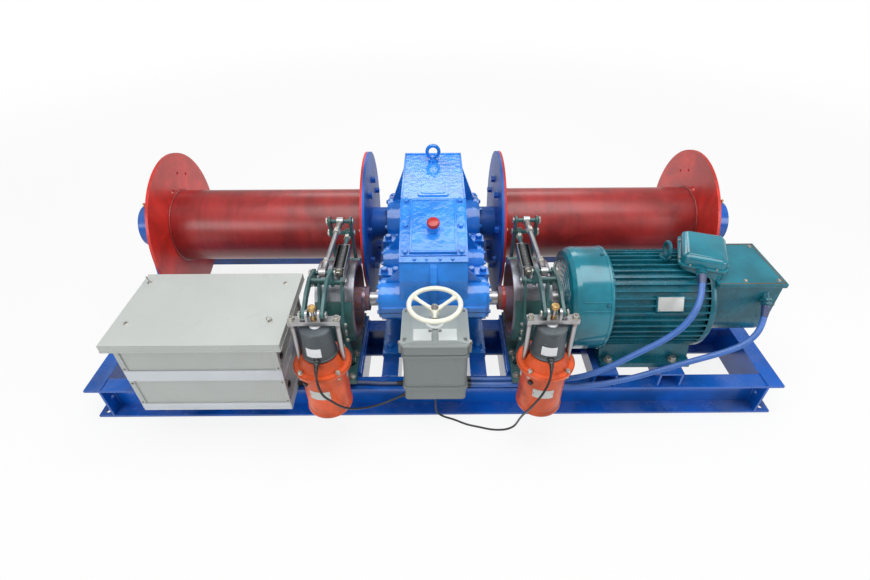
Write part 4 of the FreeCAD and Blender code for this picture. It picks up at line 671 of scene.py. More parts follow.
HOSE_D = 0.022
THIN_HOSE_D = 0.016
LEAD_D = 0.008
STATOR_ROUTE = [(0.941, -0.456, 0.612), (0.920, -0.514, 0.604), (0.896, -0.567, 0.573), (0.864, -0.596, 0.518),
                (0.816, -0.600, 0.454), (0.720, -0.602, 0.378), (0.622, -0.598, 0.290), (0.540, -0.578, 0.226),
                (0.450, -0.535, 0.172), (0.330, -0.531, 0.1715), (0.220, -0.534, 0.1715), (0.121, -0.531, 0.1715)]
ROTOR_ROUTE = [(1.194, -0.488, 0.5005), (1.180, -0.538, 0.446), (1.128, -0.568, 0.392), (1.045, -0.576, 0.352),
               (0.950, -0.580, 0.318), (0.840, -0.582, 0.270), (0.730, -0.583, 0.222), (0.610, -0.580, 0.186),
               (0.490, -0.568, 0.172), (0.360, -0.557, 0.1715), (0.230, -0.560, 0.1715), (0.121, -0.557, 0.1715)]
RESISTOR_ROUTE = [(-0.113, -0.545, 0.169), (-0.190, -0.550, 0.1685), (-0.290, -0.540, 0.1685),
                  (-0.395, -0.547, 0.1685), (-0.470, -0.541, 0.169), (-0.531, -0.545, 0.171)]
RIGHT_LEAD_ROUTE = [(0.383, -0.733, 0.467), (0.379, -0.764, 0.455), (0.370, -0.782, 0.426), (0.356, -0.786, 0.380),
                    (0.338, -0.776, 0.320), (0.327, -0.752, 0.255), (0.322, -0.718, 0.190), (0.318, -0.690, 0.128),
                    (0.315, -0.668, 0.070), (0.306, -0.654, 0.028), (0.276, -0.650, 0.006),
                    (0.226, -0.648, 0.0045), (0.176, -0.634, 0.0045), (0.127, -0.622, 0.0045),
                    (0.078, -0.596, 0.0045), (0.036, -0.585, 0.008), (0.008, -0.591, 0.042),
                    (0.003, -0.597, 0.105), (0.005, -0.594, 0.159)]
LEFT_LEAD_ROUTE = [(-0.383, -0.733, 0.467), (-0.381, -0.764, 0.455), (-0.375, -0.782, 0.426),
                   (-0.366, -0.785, 0.380), (-0.349, -0.768, 0.335), (-0.327, -0.746, 0.277),
                   (-0.303, -0.718, 0.228), (-0.270, -0.685, 0.189), (-0.226, -0.654, 0.163),
                   (-0.176, -0.628, 0.156), (-0.1138, -0.604, 0.170)]
CORDS = {
    "stator_hose": (STATOR_ROUTE, HOSE_D, "hose_blue", "medium"),
    "rotor_hose": (ROTOR_ROUTE, HOSE_D, "hose_blue", "medium"),
    "resistor_hose": (RESISTOR_ROUTE, THIN_HOSE_D, "hose_dark", "medium"),
    "brake_lead_right": (RIGHT_LEAD_ROUTE, LEAD_D, "lead_black", "medium"),
    "brake_lead_left": (LEFT_LEAD_ROUTE, LEAD_D, "lead_black", "medium"),
}


def spline_points(route):
    """Points along the route's NURBS spline, and its length."""
    curve = bpy.data.curves.new("measure", "CURVE")
    curve.dimensions = "3D"
    add_spline(curve, route)
    obj = bpy.data.objects.new("measure", curve)
    bpy.context.scene.collection.objects.link(obj)
    bpy.context.view_layer.update()
    mesh = bpy.data.meshes.new_from_object(obj.evaluated_get(bpy.context.evaluated_depsgraph_get()))
    points = [v.co.copy() for v in mesh.vertices]
    bpy.data.objects.remove(obj)
    bpy.data.meshes.remove(mesh)
    return points, sum((b - a).length for a, b in zip(points, points[1:]))


def add_spline(curve, route):
    """NURBS spline that ends at the route's ends."""
    spline = curve.splines.new("NURBS")
    spline.points.add(len(route) - 1)
    for point, place in zip(spline.points, route):
        point.co = (*place, 1.0)
    spline.order_u = 3
    spline.use_endpoint_u = True
    spline.resolution_u = 12


def add_cord(name, route, diameter, finish):
    """One free cord as a bevelled NURBS curve in place of its plain tube."""
    curve = bpy.data.curves.new(name + "_line", "CURVE")
    curve.dimensions = "3D"
    curve.bevel_depth = diameter / 2
    curve.bevel_resolution = 4
    curve.use_fill_caps = True
    add_spline(curve, route)
    curve.materials.append(FINISHES[finish])
    obj = bpy.data.objects.new(name + "_cord", curve)
    bpy.context.scene.collection.objects.link(obj)
    points, length = spline_points(route)
    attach(obj, "base")
    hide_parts(name)
    return points


AXIS_Z = 0.428
DRUM_Y = 0.226
INPUT_Y = -0.340
MIDDLE_Y = -0.095
FRAME_TOP = 0.160
END_WEB = 1.301
LONG_WEB = 0.504
BEARER_TIP = 0.210
BEARER_WEB = 0.145
CHANNEL_WEB = 0.0085
FOOT_TOP = 0.184
FLANGE_IN, FLANGE_OUT = 0.285, 0.305
BARREL_WELD_R = 0.1645
CAP_FACE = 1.366
CASE_FACE = 0.210
LUG = 0.036
PULL_ROD_REAR = (0.360, -0.165, 0.672)
PULL_ROD_FRONT = (0.383, -0.458, 0.640)
WHEEL_WEB = 0.342
WHEEL_X = 0.360
ARM_FOOT_Z = 0.224
SHOE_PIN_OUT = 0.193
BRAKE_BASE_TOP = 0.210
CROSSHEAD_TOP = 0.604
PUSH_ROD_OUT = 0.072
MOTOR_FOOT_OUT, MOTOR_FOOT_TOP = 0.168, 0.250
HANDWHEEL_X, HANDWHEEL_Y = 0.004, -0.527
LID_TOP = 0.468
ARM_IN, ARM_OUT = 0.316, 0.404
THRUSTER = Vector((0.383, -0.658, 0.0))
SPRING_X, SPRING_Z = 0.335, 0.618
SIDES = ((-1, "left"), (1, "right"))


def on_side(point, side):
    """A point given for the right side, moved to the side's own place."""
    return Vector((point[0] * side, point[1], point[2]))


def drum_line(x):
    """Point on the drums' axis."""
    return Vector((x, DRUM_Y, AXIS_Z))


def input_line(x):
    """Point on the axis of the motor and the brake wheels."""
    return Vector((x, INPUT_Y, AXIS_Z))


def ring_line(centre, radius, count=96):
    """Closed circle of points round a line along X."""
    points = circle_points(centre, X, radius, count)
    return points + points[:1]


def lathe_piece(name, turns, finish, body, smooth=True):
    """One object of several turned profiles, each (profile, centre, direction, steps)."""
    bm = bmesh.new()
    for profile, centre, direction, steps in turns:
        add_lathe(bm, profile, Vector(centre), Vector(direction), steps)
    return add_object(name, mesh_from(bm, name, smooth), finish, body)


def block_piece(name, blocks, finish, body, bevel=0.001):
    """One object of several bevelled blocks, each (low, high) or (low, high, matrix)."""
    bm = bmesh.new()
    for block in blocks:
        add_block(bm, block[0], block[1], bevel, block[2] if len(block) > 2 else None)
    return add_object(name, mesh_from(bm, name), finish, body)


def disc_profile(radius, thick, hole=0.0):
    """Flat disc with an eased edge."""
    ease = min(0.0008, thick / 3)
    return [(hole, 0.0), (radius, 0.0), (radius, thick - ease), (radius - ease, thick), (hole, thick)]


def hex_profile(flats, height):
    """Profile of a nut, to be turned in six steps."""
    corner = flats * 0.577
    return [(0.0, 0.0), (corner, 0.0), (corner, height * 0.88), (corner * 0.9, height), (0.0, height)]


def pin_head(radius):
    """Profile of a pin's eased head."""
    return [(0.0, 0.0), (radius * 1.45, 0.0), (radius * 1.45, 0.003), (radius * 1.2, 0.0045), (0.0, 0.0045)]


def rivet_head(radius, rim, height):
    """Profile of a rivet's low dome."""
    return [(0.0, 0.0), (radius, 0.0), (radius, rim), (0.0, height)]


def rounded_loop(half_x, half_y, radius, inset):
    """Corner points of a rounded rectangle, moved in by inset."""
    points = []
    small = max(radius - inset, 0.001)
    for quarter, (sx, sy) in enumerate(((1, 1), (-1, 1), (-1, -1), (1, -1))):
        for k in range(7):
            a = math.pi / 2 * (quarter + k / 6)
            points.append((sx * (half_x - radius) + small * math.cos(a),
                           sy * (half_y - radius) + small * math.sin(a)))
    return points


def add_rounded(bm, half_x, half_y, radius, levels, matrix):
    """Closed lid of rounded rectangles, one for each level of (inset, height)."""
    loops = []
    for inset, height in levels:
        loops.append([bm.verts.new(matrix @ Vector((x, y, height)))
                      for x, y in rounded_loop(half_x, half_y, radius, inset)])
    for low, high in zip(loops, loops[1:]):
        for k in range(len(low)):
            n = (k + 1) % len(low)
            bm.faces.new((low[k], low[n], high[n], high[k]))
    bm.faces.new(loops[0][::-1])
    bm.faces.new(loops[-1])


def add_relief(name, route, diameter, thick, length, finish="black", at_end=False):
    """Tapered, grooved sleeve round the first stretch of a cord, on the cord's own line."""
    points = spline_points(route)[0]
    if at_end:
        points = points[::-1]
    line, sizes, run = [points[0] - (points[1] - points[0]).normalized() * 0.002], [thick / 2], 0.0
    for before, after in zip(points, points[1:]):
        step = (after - before).length
        parts = max(1, int(step / 0.0015))
        for k in range(parts):
            place = before.lerp(after, (k + 0.5) / parts)
            share = (run + step * (k + 0.5) / parts) / length
            if share > 1:
                break
            groove = 0.94 if (share * 7) % 1 > 0.65 and share > 0.15 else 1.0
            line.append(place)
            sizes.append((thick / 2 + (diameter / 2 * 1.06 - thick / 2) * share) * groove)
        run += step
        if run > length:
            break
    bm = bmesh.new()
    add_tube(bm, line, sizes, 24)
    add_object(name, mesh_from(bm, name), finish, "base")


class WINCH_OT_frame(bpy.types.Operator):
    """Weld beads along the joints of the frame"""
    bl_idname = "winch.frame_welds"
    bl_label = "Frame welds"

    def execute(self, context):
        lines = []

        def upright(x, y, inset):
            lines.append([(x, y, inset), (x, y, FRAME_TOP - inset)])

        def lying(x0, y0, x1, y1):
            lines.append([(x0, y0, FRAME_TOP + 0.001), (x1, y1, FRAME_TOP + 0.001)])

        for side in (-1, 1):
            for end in (-1, 1):
                y, out_y = end * LONG_WEB, end * (LONG_WEB + 0.0095)
                upright(side * END_WEB, y, 0.004)
                upright(side * (END_WEB - 0.001), out_y, 0.012)
                lying(side * END_WEB, y, side * END_WEB, end * 0.5685)
                upright(side * BEARER_WEB, y, 0.004)
                upright(side * (BEARER_WEB + CHANNEL_WEB), y, 0.012)
                lying(side * BEARER_WEB, y, side * BEARER_TIP, y)
            for x in (BEARER_TIP, END_WEB):
                lying(side * x, -0.231, side * x, -0.168)
            for y in (-LONG_WEB, -0.167):
                lying(side * 0.290, y, side * 0.430, y)
            for x in (0.290, 0.430):
                lying(side * x, -0.503, side * x, -0.168)
        for x in (0.612, 0.704, 0.865, 0.957):
            lying(x, -0.562, x, -0.505)
            lying(x, -0.231, x, -0.168)
        for side in (-1, 1):
            for y in (DRUM_Y - 0.150, DRUM_Y + 0.150):
                lying(side * 1.303, y, side * 1.356, y)
        add_welds("frame_beads", lines, "frame_blue", "base", context.scene.winch_sizes.weld_width * 0.8)
        return {"FINISHED"}


class WINCH_OT_drums(bpy.types.Operator):
    """Welds, flange bolts and hubs of the drums"""
    bl_idname = "winch.drum_dressing"
    bl_label = "Drum dressing"

    def execute(self, context):
        weld = context.scene.winch_sizes.weld_width
        beads, outside, heads, nuts, hubs, studs = [], [], [], [], [], []
        for side in (-1, 1):
            for x in (0.307, 1.174):
                beads.append(ring_line(drum_line(side * x), BARREL_WELD_R))
            outside.append(ring_line(drum_line(side * 1.231), 0.058, 48))
            outside.append(ring_line(drum_line(side * 1.190), 0.086, 64))
            for place in circle_points(drum_line(side * FLANGE_IN), X, 0.205, 8, math.pi / 8):
                heads.append((place, (-side, 0, 0)))
                outer = place + X * side * (FLANGE_OUT - FLANGE_IN)
                nuts.append((outer, (side, 0, 0)))
                studs.append(([(0.007, 0.0), (0.007, 0.006), (0.006, 0.008), (0.0, 0.008)],
                              outer + X * side * 0.0135, (side, 0, 0), 12))
            hub = [(0.0552, 0.0), (0.084, 0.0), (0.084, 0.022), (0.074, 0.030), (0.074, 0.038), (0.070, 0.042),
                   (0.0552, 0.042), (0.0552, 0.0)]
            hubs.append((hub, drum_line(side * 1.188), (side, 0, 0), 48))
        add_welds("drum_beads", beads, "drum_red", "drums", weld, 0.0035, 2.0)
        add_welds("hub_beads", outside, "flange_red", "drums", weld * 0.8, 0.003, 5.0)
        add_bolts("drum_flange_bolts", heads, "blued_bolt", "drums", 0.0255, 0.0158, 0.0200)
        add_bolts("drum_flange_nuts", nuts, "drum_red", "drums", 0.0250, 0.0140, 0.0195, 8)
        lathe_piece("outer_hubs", hubs, "flange_red", "drums")
        lathe_piece("flange_studs", studs, "zinc", "drums")
        return {"FINISHED"}


class WINCH_OT_pedestals(bpy.types.Operator):
    """Cap screws, foot bolts, seals and grease nipples of the drum pedestals"""
    bl_idname = "winch.pedestal_dressing"
    bl_label = "Pedestal dressing"

    def execute(self, context):
        screws, feet, nipples, rings = [], [], [], []
        nipple = [(0.0, -0.004), (0.009, -0.004), (0.009, 0.008), (0.005, 0.010), (0.005, 0.016), (0.0065, 0.018),
                  (0.0055, 0.022), (0.003, 0.024), (0.0, 0.024)]
        ring = [(0.0565, 0.0), (0.088, 0.0), (0.088, 0.006), (0.084, 0.010), (0.0565, 0.010), (0.0565, 0.0)]
        for side in (-1, 1):
            for place in circle_points(drum_line(side * CAP_FACE), X, 0.056, 6):
                screws.append((place, (side, 0, 0)))
            for y in (DRUM_Y - 0.135, DRUM_Y + 0.135):
                for x in (1.277, 1.334):
                    feet.append(((side * x, y, FOOT_TOP), (0, 0, 1)))
            lean = Vector((side * 0.25, -0.10, 1.0)).normalized()
            nipples.append((nipple, (side * 1.335, DRUM_Y, 0.5225), lean, 14))
            rings.append((ring, drum_line(side * 1.256), (-side, 0, 0), 40))
        add_bolts("pedestal_cap_screws", screws, "blued_bolt", "base", 0.016, 0.0085, 0.0105)
        add_bolts("pedestal_foot_bolts", feet, "blued_bolt", "base", 0.022, 0.015, 0.0145)
        lathe_piece("grease_nipples", nipples, "brass", "base")
        lathe_piece("pedestal_seals", rings, "frame_blue", "base")
        return {"FINISHED"}


SLOPE_FOOT = Vector((0, -0.365, 0.612))
SLOPE_ANGLE = math.atan2(0.116, 0.270)
SLOPE_UP = Vector((0, -math.sin(SLOPE_ANGLE), math.cos(SLOPE_ANGLE)))
SLOPE_ALONG = Vector((0, math.cos(SLOPE_ANGLE), math.sin(SLOPE_ANGLE)))


def on_slope(x, along, height):
    """Point on the reducer's sloping front."""
    return SLOPE_FOOT + X * x + SLOPE_ALONG * along + SLOPE_UP * height


class WINCH_OT_reducer(bpy.types.Operator):
    """Bolts, seams, vent and raised edges of the reducer"""
    bl_idname = "winch.reducer_dressing"
    bl_label = "Reducer dressing"

    def execute(self, context):
        cap_bolts, lug_bolts, feet, cover, lip = [], [], [], [], []
        bosses = ((INPUT_Y, 0.055, 6, 0.8), (MIDDLE_Y, 0.047, 6, 0.8), (DRUM_Y, 0.102, 8, 1.0))
        for side in (-1, 1):
            for y, radius, count, size in bosses:
                for place in circle_points((side * CASE_FACE, y, AXIS_Z), X, radius, count, math.pi / count):
                    cap_bolts.append((place, (side, 0, 0), size))
            for y in (-0.211, 0.036, 0.420):
                for x in (0.200, 0.153):
                    lug_bolts.append(((side * x, y, AXIS_Z + LUG), (0, 0, 1)))
                    lug_bolts.append(((side * x, y, AXIS_Z - LUG), (0, 0, -1)))
            for y in (-0.360, -0.095, 0.075, 0.400):
                feet.append(((side * 0.182, y, FOOT_TOP), (0, 0, 1)))
            for along in (0.046, 0.163, 0.280):
                cover.append((on_slope(side * 0.104, along, 0.006), SLOPE_UP))
            for x in (0.025, 0.070):
                lip.append((on_slope(side * x, 0.012, 0.009), SLOPE_UP))
        add_bolts("cap_bolts", cap_bolts, "case_bolt", "base", 0.017, 0.010, 0.0135)
        add_bolts("lug_bolts", lug_bolts, "case_bolt", "base", context.scene.winch_sizes.bolt_flats, 0.017, 0.019)
        add_bolts("reducer_foot_bolts", feet, "case_bolt", "base", 0.030, 0.018, 0.023)
        add_bolts("cover_bolts", cover, "case_bolt", "base", 0.018, 0.010, 0.013)
        add_bolts("lip_screws", lip, "case_bolt", "base", 0.011, 0.006, 0.007)
        self.add_vent()
        self.add_trim()
        return {"FINISHED"}

    def add_vent(self):
        foot = on_slope(0, 0.141, 0.044)
        cap = [(0.0, 0.0), (0.0225, 0.0), (0.0232, 0.004), (0.0228, 0.0145), (0.0205, 0.0178), (0.0130, 0.0196),
               (0.0, 0.0200)]
        bm = bmesh.new()
        add_lathe(bm, cap, foot, SLOPE_UP, 40)
        for k in range(16):
            matrix = turn_to(SLOPE_UP, foot) @ Matrix.Rotation(2 * math.pi * k / 16, 4, "Z")
            add_block(bm, (0.0215, -0.0012, 0.002), (0.0240, 0.0012, 0.0140), 0.0004, matrix)
        obj = add_object("vent_cap", mesh_from(bm, "vent_cap"), "vent_red", "base")
        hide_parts("reducer_vent")
        collar = [(0.0, 0.0), (0.024, 0.0), (0.024, 0.007), (0.021, 0.010), (0.0, 0.010)]
        lathe_piece("vent_collar", [(collar, on_slope(0, 0.141, 0.014), SLOPE_UP, 6)], "case_bolt", "base", False)

    def add_trim(self):
        slope = Matrix.Translation(SLOPE_FOOT) @ Matrix.Rotation(SLOPE_ANGLE, 4, "X")
        blocks = []
        for side in (-1, 1):
            x0, x1 = sorted((side * 0.080, side * 0.088))
            blocks.append(((x0, 0.040, 0.013), (x1, 0.284, 0.0165), slope))
            x0, x1 = sorted((side * 0.1195, side * 0.1275))
            blocks.append(((x0, 0.004, -0.008), (x1, 0.292, 0.0045), slope))
            blocks.append(((x0, MIDDLE_Y, 0.720), (x1, 0.338, 0.7320)))
        blocks.append(((-0.088, 0.277, 0.013), (0.088, 0.285, 0.0165), slope))
        blocks.append(((-0.088, 0.039, 0.013), (0.088, 0.047, 0.0165), slope))
        blocks.append(((-0.1275, 0.331, 0.720), (0.1275, 0.340, 0.7320)))
        block_piece("case_edges", blocks, "reducer_blue", "base", 0.0018)
        bm = bmesh.new()
        flat = Matrix.Translation((0, MIDDLE_Y + 0.0945, 0.733))
        add_rounded(bm, 0.049, 0.058, 0.014, [(0.0, -0.001), (0.0, 0.0012), (0.0012, 0.0022)], flat)
        add_object("plaque_plate", mesh_from(bm, "plaque_plate"), "reducer_blue", "base")
        seam = []
        for y0, y1 in ((-0.4288, -0.4270), (0.4990, 0.5008)):
            seam.append(((-0.1965, y0, AXIS_Z - 0.001), (0.1965, y1, AXIS_Z + 0.001)))
        block_piece("case_joint", seam, "gap", "base", 0.0002)
        plug = [(0.0, 0.0), (0.017, 0.0), (0.017, 0.006), (0.0145, 0.006), (0.0145, 0.016), (0.0, 0.016)]
        lathe_piece("drain_plug", [(plug, (0.0, -0.400, 0.205), (0, -1, 0), 6)], "case_bolt", "base", False)
        sight = [(0.0, 0.0), (0.020, 0.0), (0.020, 0.008), (0.016, 0.011), (0.013, 0.011), (0.012, 0.007),
                 (0.0, 0.007)]
        lathe_piece("oil_glass", [(sight, (0.060, -0.4085, 0.300), (0, -1, -0.05), 28)], "case_bolt", "base")


class WINCH_OT_brakes(bpy.types.Operator):
    """Pin heads, nuts, springs, knobs and bolts of the two brakes"""
    bl_idname = "winch.brake_dressing"
    bl_label = "Brake dressing"

    def execute(self, context):
        for side, word in SIDES:
            self.add_pins(side, word)
            self.add_spring(side, word, context.scene.winch_sizes.spring_turns)
            self.add_rods(side, word)
            self.add_base(side, word)
            self.add_crosshead(side, word)
        return {"FINISHED"}

    def add_pins(self, side, word):
        pins = {
            "base": [(0.312, 0.408, -0.470, ARM_FOOT_Z, 0.009), (0.312, 0.408, -0.210, ARM_FOOT_Z, 0.009)],
            f"front_arm_{word}": [(0.306, 0.424, -0.462, 0.602, 0.009),
                                  (ARM_IN, ARM_OUT, INPUT_Y - SHOE_PIN_OUT, AXIS_Z, 0.009)],
            f"rear_arm_{word}": [(0.312, 0.408, -0.165, 0.672, 0.008), (0.312, 0.408, -0.160, 0.618, 0.008),
                                 (ARM_IN, ARM_OUT, INPUT_Y + SHOE_PIN_OUT, AXIS_Z, 0.009)],
            f"lever_{word}": [(0.343, 0.423, -0.458, 0.640, 0.008), (0.343, 0.423, -0.658, 0.622, 0.0075)],
        }
        for body, rows in pins.items():
            bm = bmesh.new()
            for x0, x1, y, z, radius in rows:
                nut = hex_profile(radius * 3.1, 0.0065)
                add_lathe(bm, pin_head(radius), on_side((x0, y, z), side), Vector((-side, 0, 0)), 20)
                add_lathe(bm, nut, on_side((x1, y, z), side), Vector((side, 0, 0)), 6)
            name = f"pin_ends_{body}" if word in body else f"pin_ends_base_{word}"
            add_object(name, mesh_from(bm, name), "zinc", body)

    def add_spring(self, side, word, turns):
        body = f"front_arm_{word}"
        steps = turns * 20
        points = []
        for k in range(steps + 1):
            a = 2 * math.pi * turns * k / steps
            points.append(Vector((side * SPRING_X + 0.0160 * math.cos(a), -0.4175 + 0.143 * k / steps,
                                  SPRING_Z + 0.0160 * math.sin(a))))
        bm = bmesh.new()
        add_tube(bm, points, 0.0028, 8)
        add_object(f"spring_coil_{word}", mesh_from(bm, "spring_coil"), "spring_coil", body)
        ends = [(disc_profile(0.0165, 0.003, 0.0125), (side * SPRING_X, -0.268, SPRING_Z), Y, 28),
                (disc_profile(0.0165, 0.003), (side * SPRING_X, -0.425, SPRING_Z), -Y, 28)]
        lathe_piece(f"spring_ends_{word}", ends, "zinc", body)
        adjuster = [(hex_profile(0.019, 0.011), (side * SPRING_X, -0.428, SPRING_Z), -Y, 6)]
        lathe_piece(f"spring_adjuster_{word}", adjuster, "zinc", body, False)

    def add_rods(self, side, word):
        rear, front = on_side(PULL_ROD_REAR, side), on_side(PULL_ROD_FRONT, side)
        along = (front - rear).normalized()
        nuts = []
        for distance, height in ((0.052, 0.012), (0.065, 0.008), (0.228, 0.009), (0.238, 0.012)):
            nuts.append((hex_profile(0.025, height), rear + along * distance, along, 6))
        lathe_piece(f"rod_nuts_{word}", nuts, "zinc", f"pull_rod_{word}", False)
        sleeve = [(0.0092, 0.0), (0.0125, 0.0), (0.0125, 0.032), (0.0110, 0.036), (0.0092, 0.036)]
        sleeves = [(sleeve, rear + along * 0.015, along, 24), (sleeve, front - along * 0.015, -along, 24)]
        lathe_piece(f"rod_sleeves_{word}", sleeves, "worn", f"pull_rod_{word}")
        locks = [(hex_profile(0.022, height), (side * SPRING_X, y, SPRING_Z), -Y, 6)
                 for y, height in ((-0.190, 0.010), (-0.202, 0.007))]
        lathe_piece(f"spring_rod_nuts_{word}", locks, "zinc", f"rear_arm_{word}", False)

    def add_base(self, side, word):
        bolts = []
        for x, y in ((-0.046, -0.425), (0.046, -0.425), (-0.046, -0.255), (0.046, -0.255), (-0.044, -0.548)):
            bolts.append((on_side((WHEEL_X + x, y, BRAKE_BASE_TOP), side), (0, 0, 1)))
        add_bolts(f"brake_base_bolts_{word}", bolts, "zinc", "base", 0.019, 0.011, 0.0135)
        for body, y in (("front_arm", INPUT_Y - SHOE_PIN_OUT), ("rear_arm", INPUT_Y + SHOE_PIN_OUT)):
            rows = []
            for x, facing in ((ARM_IN, -side), (ARM_OUT, side)):
                for z in (AXIS_Z - LUG, AXIS_Z + LUG):
                    rows.append((on_side((x, y, z), side), (facing, 0, 0)))
            add_bolts(f"shoe_bolts_{body}_{word}", rows, "zinc", f"{body}_{word}", 0.012, 0.006, 0.0078)
        hub = []
        for place in circle_points(input_line(side * WHEEL_WEB), X, 0.088, 6):
            hub.append((place, (-side, 0, 0)))
            hub.append((place + X * side * 0.018, (side, 0, 0)))
        add_bolts(f"wheel_bolts_{word}", hub, "worn", "input_train", 0.019, 0.011, 0.0135)
        finish = "hub_red" if side > 0 else "hub_grey"
        ring = [(0.046, 0.0), (0.066, 0.0), (0.066, 0.010), (0.062, 0.014), (0.046, 0.014)]
        lathe_piece(f"wheel_hub_ring_{word}", [(ring, input_line(side * WHEEL_WEB), (-side, 0, 0), 40)],
                    finish, "input_train")
        sleeve = [(0.0463, 0.0), (0.0480, 0.001), (0.0480, 0.013), (0.0463, 0.014)]
        lathe_piece(f"hub_band_{word}", [(sleeve, input_line(side * 0.262), (side, 0, 0), 40)],
                    finish, "input_train")

    def add_crosshead(self, side, word):
        centre = on_side(THRUSTER, side)
        body = f"lifter_{word}"
        knob = [(0.0, 0.0), (0.0118, 0.0), (0.0132, 0.003), (0.0132, 0.0120), (0.0120, 0.0150), (0.0085, 0.0162),
                (0.0, 0.0162)]
        lathe_piece(f"knob_{word}", [(knob, centre + Z * 0.6410, Z, 24)], "brass", body)
        lock = [(hex_profile(0.017, 0.006), centre + Z * CROSSHEAD_TOP, Z, 6),
                (hex_profile(0.015, 0.005), centre + Z * 0.612, Z, 6)]
        lathe_piece(f"knob_nuts_{word}", lock, "brass", body, False)
        places = [centre + X * x for x in (-PUSH_ROD_OUT, PUSH_ROD_OUT)]
        nuts = [(place + Z * CROSSHEAD_TOP, Z) for place in places]
        add_bolts(f"push_rod_nuts_{word}", nuts, "zinc", body, 0.019, 0.010, 0.0125)
        studs = [(disc_profile(0.0055, 0.006), place + Z * 0.613, Z, 14) for place in places]
        lathe_piece(f"push_rod_ends_{word}", studs, "worn", body)
        collar = [(0.0102, 0.0), (0.0132, 0.0), (0.0132, 0.012), (0.0115, 0.015), (0.0102, 0.015)]
        collars = [(collar, place + Z * 0.588, -Z, 24) for place in places]
        lathe_piece(f"push_rod_collars_{word}", collars, "worn", body)


class WINCH_OT_thrusters(bpy.types.Operator):
    """Flange bolts, lips, plates, plugs and glands of the thrusters"""
    bl_idname = "winch.thruster_dressing"
    bl_label = "Thruster dressing"

    def execute(self, context):
        routes = {"right": RIGHT_LEAD_ROUTE, "left": LEFT_LEAD_ROUTE}
        for side, word in SIDES:
            centre = on_side(THRUSTER, side)
            for z, facing, name in ((0.417, 1, "flange_bolts"), (0.401, -1, "flange_nuts")):
                places = circle_points(centre + Z * z, Z, 0.0885, 4, math.pi / 4)
                add_bolts(f"{name}_{word}", [(place, (0, 0, facing)) for place in places], "zinc", "base",
                          0.0140, 0.009, 0.0085)
            lip = [(0.0955, -0.001), (0.0985, 0.0), (0.0990, 0.0055), (0.0968, 0.0085), (0.0955, 0.0085)]
            foot = [(0.0560, 0.0), (0.0800, 0.0), (0.0812, 0.004), (0.0812, 0.012), (0.0785, 0.018), (0.0560, 0.018)]
            rims = [(lip, centre + Z * 0.4085, Z, 64), (foot, centre + Z * 0.2005, Z, 64)]
            lathe_piece(f"thruster_rims_{word}", rims, "thruster_orange", "base")
            cap = [(0.0490, -0.008), (0.0520, -0.005), (0.0525, -0.001), (0.0500, 0.003), (0.0440, 0.0045),
                   (0.0, 0.0050)]
            rim = [(0.0560, 0.0), (0.0592, 0.001), (0.0592, 0.007), (0.0560, 0.010)]
            lathe_piece(f"head_rims_{word}", [(cap, centre + Z * 0.5720, Z, 48), (rim, centre + Z * 0.4570, Z, 48)],
                        "thruster_grey", "base")
            button = [(0.0, 0.0), (0.0190, 0.0), (0.0190, 0.003), (0.0160, 0.0055), (0.0, 0.006)]
            lathe_piece(f"head_button_{word}", [(button, centre + Z * 0.5765, Z, 32)], "paper", "base")
            self.add_plates(centre, word)
            start = centre + Vector((0, -0.0525, 0.4722))
            out = Vector((0, -0.974, -0.2265))
            nuts = [(hex_profile(0.0205, 0.007), start, out, 6),
                    (hex_profile(0.0185, 0.006), start + out * 0.012, out, 6)]
            lathe_piece(f"head_gland_{word}", nuts, "black", "base", False)
            add_relief(f"head_relief_{word}", routes[word], LEAD_D, 0.0155, 0.034)
        return {"FINISHED"}

    def add_plates(self, centre, word):
        def curved(name, radius, angle, width, low, high, thick, finish):
            bm = bmesh.new()
            steps = 10
            rows = []
            for z, shift in ((low, radius[0]), (high, radius[1])):
                row = []
                for k in range(steps + 1):
                    a = angle + (k / steps - 0.5) * width
                    for r in (shift, shift + thick):
                        row.append(bm.verts.new((centre.x + r * math.sin(a), centre.y - r * math.cos(a), z)))
                rows.append(row)
            bottom, top = rows
            for k in range(0, 2 * steps, 2):
                bm.faces.new((bottom[k + 1], bottom[k + 3], top[k + 3], top[k + 1]))
                bm.faces.new((top[k], top[k + 1], top[k + 3], top[k + 2]))
                bm.faces.new((bottom[k], bottom[k + 2], bottom[k + 3], bottom[k + 1]))
                bm.faces.new((bottom[k + 2], bottom[k], top[k], top[k + 2]))
            for k, order in ((0, 1), (2 * steps, -1)):
                bm.faces.new((bottom[k], bottom[k + 1], top[k + 1], top[k])[::order])
            add_object(f"{name}_{word}", mesh_from(bm, name), finish, "base")

        curved("body_plate", (0.0782, 0.0782), -0.12, 0.92, 0.300, 0.339, 0.0012, "plate")
        curved("head_label", (0.0552, 0.0536), -0.15, 0.95, 0.484, 0.520, 0.0008, "paper")
        around = Vector((math.sin(-0.75), -math.cos(-0.75), 0))
        plug = [(0.0, 0.0), (0.010, 0.0), (0.010, 0.007), (0.007, 0.009), (0.0, 0.009)]
        lathe_piece(f"filler_plug_{word}", [(plug, centre + around * 0.0775 + Z * 0.362, around, 6)], "black", "base",
                    False)
        rivets = []
        for a in (-0.54, 0.30):
            out = Vector((math.sin(a), -math.cos(a), 0))
            rivets.append((rivet_head(0.003, 0.0012, 0.0022), centre + out * 0.0792 + Z * 0.3195, out, 10))
        lathe_piece(f"plate_rivets_{word}", rivets, "zinc", "base")
        under = [(centre + Vector((0, y, 0.184)), (0, 0, -1)) for y in (-0.020, 0.020)]
        add_bolts(f"foot_bolts_{word}", under, "zinc", "base", 0.019, 0.012)


TERMINAL = Matrix.Translation((0.985, -0.335, 0.0)) @ Matrix.Rotation(math.radians(-20), 4, "Z")


